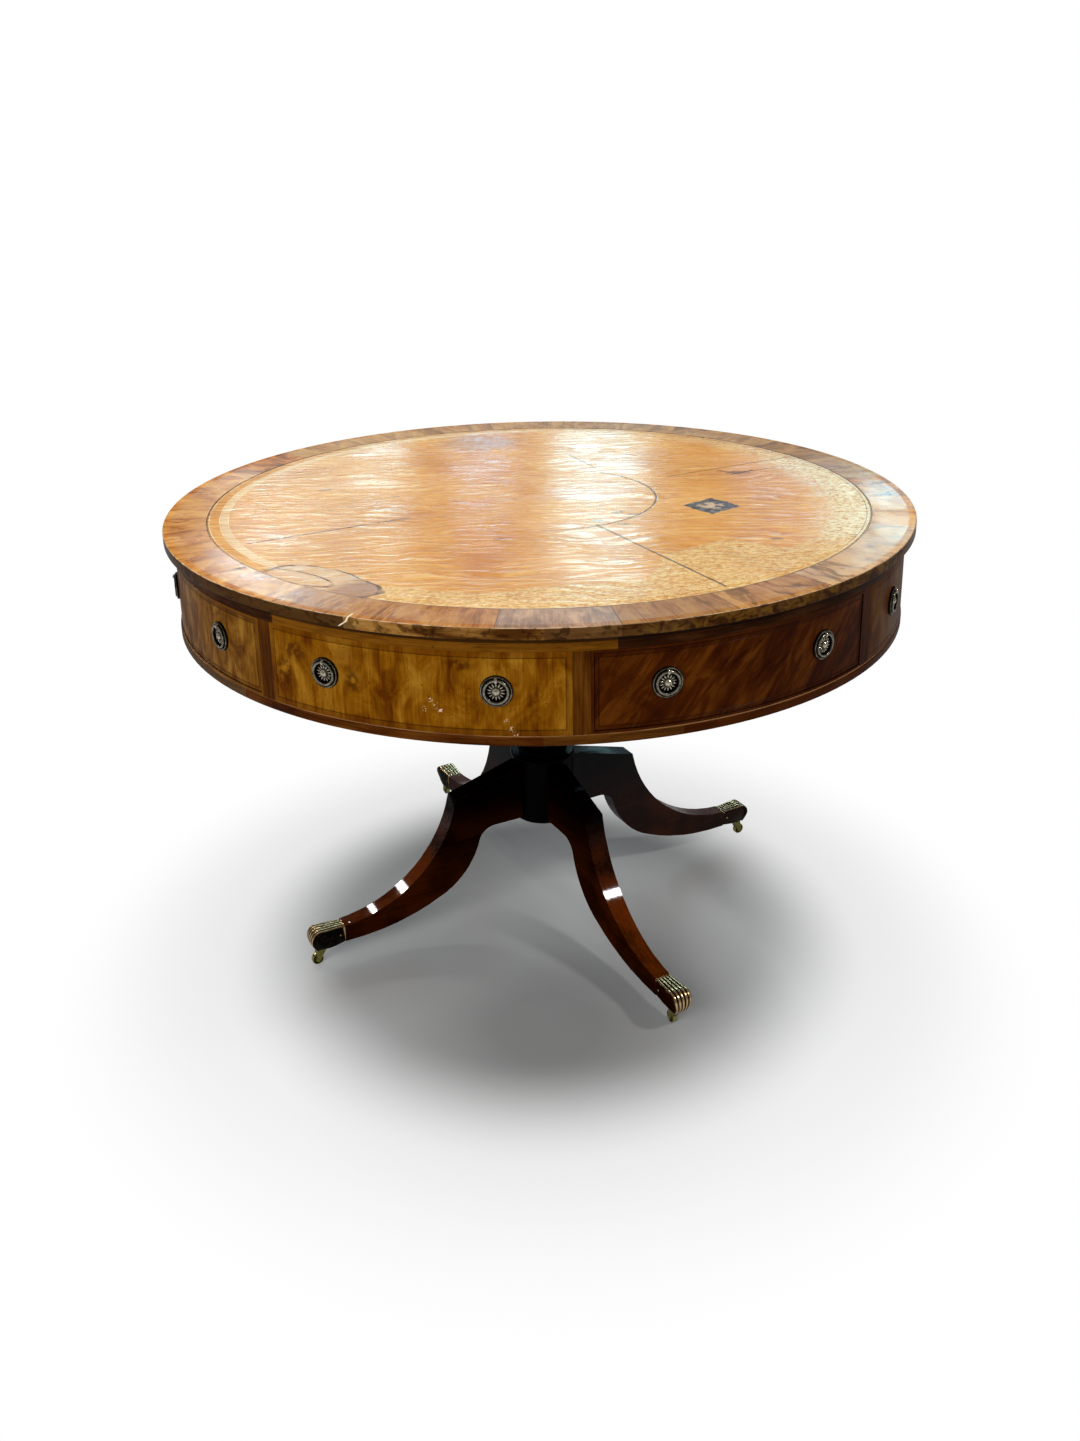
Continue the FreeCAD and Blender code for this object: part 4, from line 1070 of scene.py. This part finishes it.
unrolled = finish.add("CombineXYZ", {
    "X": finish.around["Azimuth"], "Y": finish.times(finish.around["Height"], 1000.0)})
CRACK = ((-23.5, 760.5), (-23.9, 753.0), (-24.9, 745.6))
crack = finish.most(*[stroke(finish, unrolled, start, end, 0.09, 0.06) for start, end in zip(CRACK, CRACK[1:])])
finish.lay(paint(240, 222, 192), crack)
edge_wood = finish.show(Roughness=border["Roughness"], Normal=finish.bump(border["Ripple"], 0.3, 0.0008))
fit(edge, edge_wood, "drum", "mahogany", "edge_band")

# Leather top
# One tan hide let into the top and pasted down, tooled in gold inside its edge, creased and rubbed.
# The joints of the board under it, a cross and a ring, have come through as thin dark lines.

low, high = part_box("leather_top")
LEATHER_EDGE = 0.0008
LEATHER_SUNK = 0.0002
LEATHER_RINGS = 12
leather_face = high.z - LEATHER_SUNK
leather_top = turned("tan_leather", [
    (0, low.z), (leather_reach, low.z),
    *arc((leather_reach - LEATHER_EDGE, leather_face - LEATHER_EDGE), LEATHER_EDGE, 0, 90, 4),
    *[(leather_reach * ring / LEATHER_RINGS, leather_face) for ring in reversed(range(LEATHER_RINGS))]], TOP_STEPS)
hide = Finish("tan leather", Specular_IOR_Level=0.45)
seen = hide.scaled(hide.turn(hide.place, PHOTO_TURN), 1, 1, 0)
around = hide.effect(ROUND, Vector=hide.place)
azimuth, reach = around["Azimuth"], around["Reach"]

# Colour of the hide, and its creases: wavy ridges that run across it, with a painted glint on their ridges and painted
# shade on one flank
away = hide.split(seen)["Y"]


def ripples(apart, wander, bend, stretch):
    """Wavy lines that run across the hide, a distance apart, as a value from 0 to 1 over each of them."""
    bends = hide.times(hide.noise(hide.scaled(seen, stretch, 1, 1), wander, 3.0, 0.55), bend)
    phase = hide.plus(hide.maths("DIVIDE", away, apart), bends)
    return hide.times(hide.maths("PINGPONG", phase, 0.5), 2.0)


crease = ripples(0.022, 8.0, 7.0, 0.4)
wrinkle = ripples(0.0095, 20.0, 6.0, 0.42)
broken = hide.noise(hide.scaled(seen, 0.35, 1, 1), 42.0, 2.0)
cells = hide.add("TexVoronoi", {"Vector": seen, "Scale": 700.0}, "Distance")
clouds = hide.noise(seen, 6.0, 6.0, 0.62, 0.4)
mottle = hide.noise(hide.scaled(seen, 0.5, 1, 1), 40.0, 4.0, 0.65, 0.5)
worked = hide.fade(hide.noise(seen, 8.0, 3.0), 0.4, 0.6, 0.35, 1.0)
tone = hide.weigh((clouds, 0.6), (mottle, 0.4))
hide.ramp(tone, (0.36, paint(194, 118, 38)), (0.5, paint(214, 142, 52)), (0.64, paint(226, 162, 74)))
long_ridge = hide.fade(broken, 0.36, 0.56, 0.25, 1.0)
ridge = hide.times(hide.fade(crease, 0.55, 0.1), worked, long_ridge)
fine_ridge = hide.times(hide.fade(wrinkle, 0.6, 0.1), worked, hide.fade(broken, 0.64, 0.44, 0.3, 1.0))
# Painted glint on the crease ridges, and painted shade on one flank of each crease
hide.lay(paint(244, 200, 124), fine_ridge, 0.36)
hide.lay(paint(182, 106, 46), hide.band(crease, 0.72, 0.06, 0.12), long_ridge, worked, 0.5)
hide.lay(paint(252, 220, 150), ridge, 0.42)

# Rubbed gilding and lacquer, left in flecks inside the border, widest at the front right
RUBBED_INNER = 0.478
WEDGE_DEEP = 0.085
FRONT_DEEP = 0.030
SHEEN_PATCH_PLACE = (-0.112, 0.42)
SHEEN_PATCH_SIZE = (0.085, 0.075)
wedge = hide.times(hide.fade(azimuth, 18.0, 30.0), hide.fade(azimuth, 51.0, 47.0), WEDGE_DEEP)
front_part = hide.times(hide.fade(azimuth, -12.0, 4.0), hide.fade(azimuth, 62.0, 40.0), FRONT_DEEP)
inner_edge = hide.less(hide.less(RUBBED_INNER, wedge), front_part)
past_edge = hide.less(reach, inner_edge)
ragged = hide.plus(past_edge, hide.uneven(seen, 26.0, 4.0, 0.03))
rubbed = hide.times(hide.fade(ragged, 0.0, 0.012),
                    hide.fade(azimuth, -52.0, -24.0, 0.12, 1.0), hide.fade(azimuth, 160.0, 120.0, 0.35, 1.0))
lace = hide.noise(hide.scaled(seen, 0.6, 1, 1), 190.0, 4.0, 0.7, 0.5)
fine_lace = hide.noise(seen, 420.0, 1.0)
hide.lay(paint(176, 128, 60), rubbed, hide.fade(lace, 0.5, 0.42), 0.55)
hide.lay(paint(232, 214, 150), rubbed, hide.fade(lace, 0.47, 0.55),
         hide.fade(fine_lace, 0.34, 0.48, 0.4, 1.0), 0.66)
far_right = hide.times(hide.between(azimuth, 66.0, 112.0, 14.0), hide.fade(reach, 0.43, 0.50))
hide.lay(paint(240, 234, 196), far_right, hide.fade(lace, 0.42, 0.54), 0.85)
# A greyer patch at the back of the hide, partly a painted sheen that goes with the pale bluish reflection there
grey_sheen_patch = hide.plus(hide.oval(seen, SHEEN_PATCH_PLACE, SHEEN_PATCH_SIZE), hide.times(mottle, 1.2))
hide.lay(paint(168, 128, 96), hide.fade(grey_sheen_patch, 1.9, 0.9, 0.0, 0.6))
loose = hide.times(hide.fade(hide.noise(seen, 13.0, 3.0), 0.55, 0.66), hide.fade(lace, 0.58, 0.66), 0.7)
hide.lay(paint(244, 214, 152), loose)

# Tooled border: a pale band between two fine lines, with a chain of small waves in it
TOOLED_INNER = 0.5085
TOOLED_OUTER = 0.5220
TOOLED_MIDDLE = 0.51525
GOLD_LINE = 0.5385
EDGE_LINE = 0.5405
NEAR_EDGE_LINE = 0.5345
WAVES = 270
WAVE_HEIGHT = 0.0032
turns = hide.times(azimuth, math.tau * WAVES / 360)
swing = hide.times(hide.maths("SINE", turns), WAVE_HEIGHT)
chain = hide.most(hide.band(reach, hide.plus(swing, TOOLED_MIDDLE), 0.0004, 0.0005),
                  hide.band(reach, hide.less(TOOLED_MIDDLE, swing), 0.0004, 0.0005))
lines = hide.most(hide.band(reach, TOOLED_INNER, 0.0005, 0.0004), hide.band(reach, TOOLED_OUTER, 0.0005, 0.0004),
                  hide.band(reach, GOLD_LINE, 0.0005, 0.0004))
kept = hide.fade(hide.noise(seen, 24.0, 3.0), 0.34, 0.6, 0.3, 0.95)
clear_side = hide.fade(azimuth, -24.0, -60.0, 0.0, 1.0)
tooled = hide.between(reach, TOOLED_INNER, TOOLED_OUTER, 0.0005)
hide.lay(paint(226, 196, 146), tooled, clear_side, 0.6)
hide.lay(paint(250, 234, 186), hide.most(lines, hide.times(chain, 0.8)), kept,
         hide.fade(azimuth, -60.0, -24.0, 0.95, 0.6))
edge_line = hide.most(hide.band(reach, EDGE_LINE, 0.0006, 0.0005),
                      hide.times(hide.band(reach, NEAR_EDGE_LINE, 0.0004, 0.0004),
                                 hide.between(azimuth, 60, 150, 8.0)))
hide.lay(paint(104, 58, 26), edge_line, 0.75)

# Marks of use: joints from below, an ink square, an old repair, stains and scratches
BOARD_RING = 0.197
JOINT_HALF = 0.0011
JOINT_SOFT = 0.0014
JOINT_LINES = ((28.0, 0.193, 0.527, 0.9), (-61.5, 0.235, 0.498, 1.0), (118.5, 0.262, 0.535, 0.7))


def polar_place(degrees, out):
    return out * math.sin(math.radians(degrees)), -out * math.cos(math.radians(degrees))


faint = hide.fade(hide.noise(seen, 18.0, 3.0), 0.3, 0.5, 0.7, 1.0)
seams = [hide.times(hide.band(reach, BOARD_RING, 0.0009, JOINT_SOFT),
                    hide.fade(azimuth, -8.0, 22.0), hide.fade(azimuth, 162.0, 135.0))]
for degrees, start, end, strength in JOINT_LINES:
    seam = stroke(hide, seen, polar_place(degrees, start), polar_place(degrees, end), JOINT_HALF, JOINT_SOFT)
    seams.append(hide.times(seam, strength))
SCRATCHES = (
    ((0.322, 0.163), (0.357, 0.130), 0.0011), ((0.340, 0.128), (0.385, 0.160), 0.0011),
    ((0.372, 0.150), (0.430, 0.176), 0.0006), ((-0.378, 0.070), (-0.360, 0.071), 0.0022),
    ((0.060, 0.300), (0.105, 0.196), 0.0006), ((-0.245, 0.015), (-0.236, 0.017), 0.0013))
for start, end, half in SCRATCHES:
    seams.append(stroke(hide, seen, start, end, half, 0.0009))
seams = hide.most(*seams)
hide.lay(paint(76, 40, 18), seams, faint)

BLOTS = (
    ((0.127, -0.100), (0.012, 0.007)), ((0.094, -0.146), (0.014, 0.006)), ((0.131, -0.168), (0.012, 0.005)),
    ((0.150, -0.112), (0.009, 0.005)), ((0.356, 0.145), (0.026, 0.012)), ((-0.060, -0.235), (0.010, 0.005)),
    ((0.352, -0.258), (0.012, 0.006)))
ragged_edge = hide.uneven(seen, 150.0, 3.0, 1.6)
blots = []
for centre, size in BLOTS:
    blots.append(hide.fade(hide.plus(hide.oval(seen, centre, size), ragged_edge), 1.1, 0.5))
hide.lay(paint(92, 66, 44), hide.most(*blots), 0.7)

INK_PLACE = (0.2815, -0.0715, 0)
INK_TURN = 51.5
INK_HALF = 0.0335
ink_off = hide.turn(hide.vector("SUBTRACT", seen, INK_PLACE), INK_TURN)
wobble = hide.uneven(seen, 60.0, 4.0, 0.016)
ink_across, ink_up, _ = hide.split(hide.vector("ABSOLUTE", ink_off))
ink_edge = hide.plus(hide.most(ink_across, ink_up), wobble)
ink = hide.fade(ink_edge, INK_HALF + 0.0012, INK_HALF - 0.0004)
worn_middle = hide.times(hide.fade(ink_edge, 0.025, 0.010), hide.fade(hide.noise(seen, 70.0, 4.0), 0.44, 0.52))
ink_colour = hide.mix(hide.fade(hide.noise(seen, 90.0, 3.0), 0.4, 0.65), paint(58, 62, 70), paint(110, 110, 110))
ink_colour = hide.mix(worn_middle, ink_colour, paint(208, 178, 146))
hide.lay(ink_colour, ink, 0.95)

# The repair: a leaf-shaped patch, pale at its left and purple-brown at its right, with a second leaf in it
REPAIR_PLACE = (-0.302, -0.415)
REPAIR_TURN = -36.0
REPAIR_SIZE = (0.098, 0.044)
LEAF_PLACE = (-0.034, -0.008)
LEAF_SIZE = (0.064, 0.020)
repair_off = hide.turn(hide.vector("SUBTRACT", seen, (*REPAIR_PLACE, 0)), -REPAIR_TURN)
repair_edge = hide.plus(hide.oval(repair_off, (0, 0), REPAIR_SIZE), hide.uneven(seen, 14.0, 3.0, 0.55))
repair = hide.fade(repair_edge, 1.02, 0.97)
repair_across = hide.split(repair_off)["X"]
hide.lay(paint(212, 172, 132), repair, hide.fade(mottle, 0.35, 0.6, 0.4, 0.85))
tail = hide.times(hide.fade(repair_across, 0.024, 0.052), repair, hide.fade(mottle, 0.34, 0.5, 0.3, 1.0))
hide.lay(paint(136, 86, 66), tail, 0.68)
outline_part = hide.fade(hide.noise(seen, 22.0, 2.0), 0.4, 0.52, 0.3, 1.0)
rim = hide.times(hide.band(repair_edge, 1.0, 0.022, 0.03), outline_part)
second_leaf = hide.oval(repair_off, LEAF_PLACE, LEAF_SIZE)
rim = hide.most(rim, hide.times(hide.band(second_leaf, 1.0, 0.04, 0.05), outline_part))
hide.lay(paint(84, 42, 28), rim, 0.95)

dents = hide.weigh((ridge, 1), (fine_ridge, 0.35), (cells, 0.05), (lines, 0.2), (seams, -0.5), (rim, -0.4))
hollows = hide.most(hide.fade(crease, 0.5, 0.8), hide.fade(wrinkle, 0.6, 0.9))
rough = hide.plus(hide.fade(clouds, 0.3, 0.7, 0.16, 0.22), hide.weigh((rubbed, 0.08), (hollows, 0.14)))
TAN_LEATHER = hide.show(Roughness=rough, Normal=hide.bump(dents, 0.8, 0.0006))
fit(leather_top, TAN_LEATHER, "drum", "leather", "leather_top")

# Floor
# A plain pale floor whose grey colour is a painted shadow of the table, darkest under the front of the drum, laid on
# the shadow that the lamps cast.
# Farther out it fades to plain white, a glow for the camera that also paints the soft outer edge of the shadow.

bpy.ops.mesh.primitive_plane_add(size=24, location=(0, 0, 0))
floor = bpy.context.object
floor.name = "floor"
ground = Finish("pale floor", Roughness=0.9, Specular_IOR_Level=0.1)
SHADE_MIDDLE = (0, -0.12)
DARKEST = (0, -0.38)
seen_floor = ground.turn(ground.place, PHOTO_TURN)
shade = ground.oval(seen_floor, SHADE_MIDDLE, (1, 1))
from_darkest = ground.oval(seen_floor, DARKEST, (1, 1))
light_path = ground.tree.nodes.new("ShaderNodeLightPath").outputs
seen_ray = ground.most(light_path["Is Camera Ray"], light_path["Is Transmission Ray"],
                       ground.times(light_path["Is Glossy Ray"], 0.2))
# Painted shadow: the floor's grey, darkest in front of the drum
FLOOR_SHADOW_GREYS = ((0.08, 0.28), (0.42, 0.57), (0.8, 0.15))
ground.ramp(from_darkest, *[(away, (level, level, level, 1)) for away, level in FLOOR_SHADOW_GREYS])
ground.show()
white = ground.add("Emission", {"Color": (1, 1, 1, 1), "Strength": 1.0})
# White for the camera, rising gradually with distance, which paints the soft outer edge of the shadow
far = ground.plus(ground.fade(shade, 0.34, 0.56, 0.0, 0.75), ground.fade(shade, 0.5, 0.85, 0.0, 0.25))
shown = ground.add("MixShader", {0: ground.times(far, seen_ray), 1: ground.shader.outputs[0], 2: white})
ground.tree.links.new(shown, ground.tree.nodes["Material Output"].inputs["Surface"])
floor.data.materials.append(ground.material)

# Light
# A pale studio: a large soft light overhead and a fill in front.
# Small lamps behind the table glance off the leather, and three more off the legs.


def seen_place(across, away, up):
    """A place given as the photograph sees it, across, away and up, in the frame of the legs."""
    return rotation(-PHOTO_TURN) @ Vector((across, away, up))


def lamp(name, at, towards, size, power, tint=(1, 1, 1), mirrored=True):
    """A rectangular area lamp that faces a place. mirrored says whether polish shows it."""
    light = bpy.data.lights.new(name, "AREA")
    light.shape = "RECTANGLE"
    light.size, light.size_y = size
    light.energy = power
    light.color = tint
    holder = placed(name, light)
    holder.location = seen_place(*at)
    holder.visible_glossy = mirrored
    holder.rotation_euler = (seen_place(*towards) - holder.location).to_track_quat("-Z", "Y").to_euler()


TOP_MIDDLE = (0, 0, 0.76)
GLARE_AWAY = 3.5
GLARE_TINT = (0.5, 0.9, 1)
# Lamps far behind the table that the top mirrors: across, up, width, height, power and tint
GLARES = {
    "main glare": (0.27, 1.80, 0.40, 0.84, 6.8, GLARE_TINT),
    "slant low": (-0.71, 1.56, 0.25, 0.22, 2.0, GLARE_TINT),
    "slant middle": (-1.06, 1.84, 0.34, 0.24, 2.0, GLARE_TINT),
    "slant high": (-1.32, 2.13, 0.28, 0.09, 3.2, (0.8, 0.96, 1)),
    "sky patch": (-0.25, 1.465, 0.27, 0.09, 1.5, (0.3, 0.66, 1)),
    "right haze": (1.09, 1.65, 0.42, 0.36, 1.7, (0.36, 0.66, 1)),
    "right glare": (1.66, 1.78, 0.44, 0.34, 3.4, (0.56, 0.92, 1)),
}
lamp("overhead", (-0.4, 0.9, 3.2), (0, 0, 0.6), (1.8, 1.8), 47)
lamp("front fill", (-1.5, -3.2, 2.0), (0, 0, 0.5), (3.0, 2.0), 92, mirrored=False)
for name, (across, up, width, height, power, tint) in GLARES.items():
    lamp(name, (across, GLARE_AWAY, up), TOP_MIDDLE, (width, height), power, tint)
lamp("leg left high", (-2.97, 2.01, 2.10), (-0.24, -0.13, 0.1), (0.2, 0.2), 9)
lamp("leg left low", (-1.97, 2.56, 2.50), (-0.3, -0.16, 0.07), (0.2, 0.2), 9)
lamp("leg right", (2.72, -1.26, 3.02), (0, 0, 0.1), (0.4, 0.4), 36)

world = bpy.data.worlds.new("studio")
bpy.context.scene.world = world
world.use_nodes = True
sky = Nodes(world.node_tree)
up = sky.split(sky.add("TexCoord", {}, "Generated"))["Z"]
path = sky.tree.nodes.new("ShaderNodeLightPath").outputs
level = sky.fade(up, 0.05, 0.3, 0.7, 0.25)
level = sky.times(level, sky.less(1.0, sky.times(path["Is Glossy Ray"], 0.8)))
near_ground = sky.times(sky.fade(up, 0.06, 0.01), path["Is Glossy Ray"], 0.15)
level = sky.most(level, path["Is Camera Ray"], path["Is Transmission Ray"], near_ground)
background = sky.tree.nodes["Background"]
sky.feed(background.inputs["Color"], (1, 1, 1, 1))
sky.feed(background.inputs["Strength"], level)

# Camera
# The photograph's view, from its outlines: a little above the table, looking down on the front.

CAMERA_BACK = 2.08854
CAMERA_UP = 1.32987
CAMERA_DOWN = 17.672
CAMERA_YAW = 0.458
CAMERA_ROLL = -1.097
LENS_LENGTH = 32.208
LENS_SHIFT = (0.0074, -0.11735)

lens = bpy.data.cameras.new("camera")
lens.sensor_width = 36
lens.lens = LENS_LENGTH
lens.shift_x, lens.shift_y = LENS_SHIFT
camera = placed("camera", lens)
camera.matrix_world = (
    Matrix.Translation(seen_place(0, -CAMERA_BACK, CAMERA_UP))
    @ rotation(CAMERA_YAW - PHOTO_TURN) @ rotation(90 - CAMERA_DOWN, "X") @ rotation(CAMERA_ROLL))
bpy.context.scene.camera = camera
bpy.context.scene.view_settings.view_transform = "Standard"
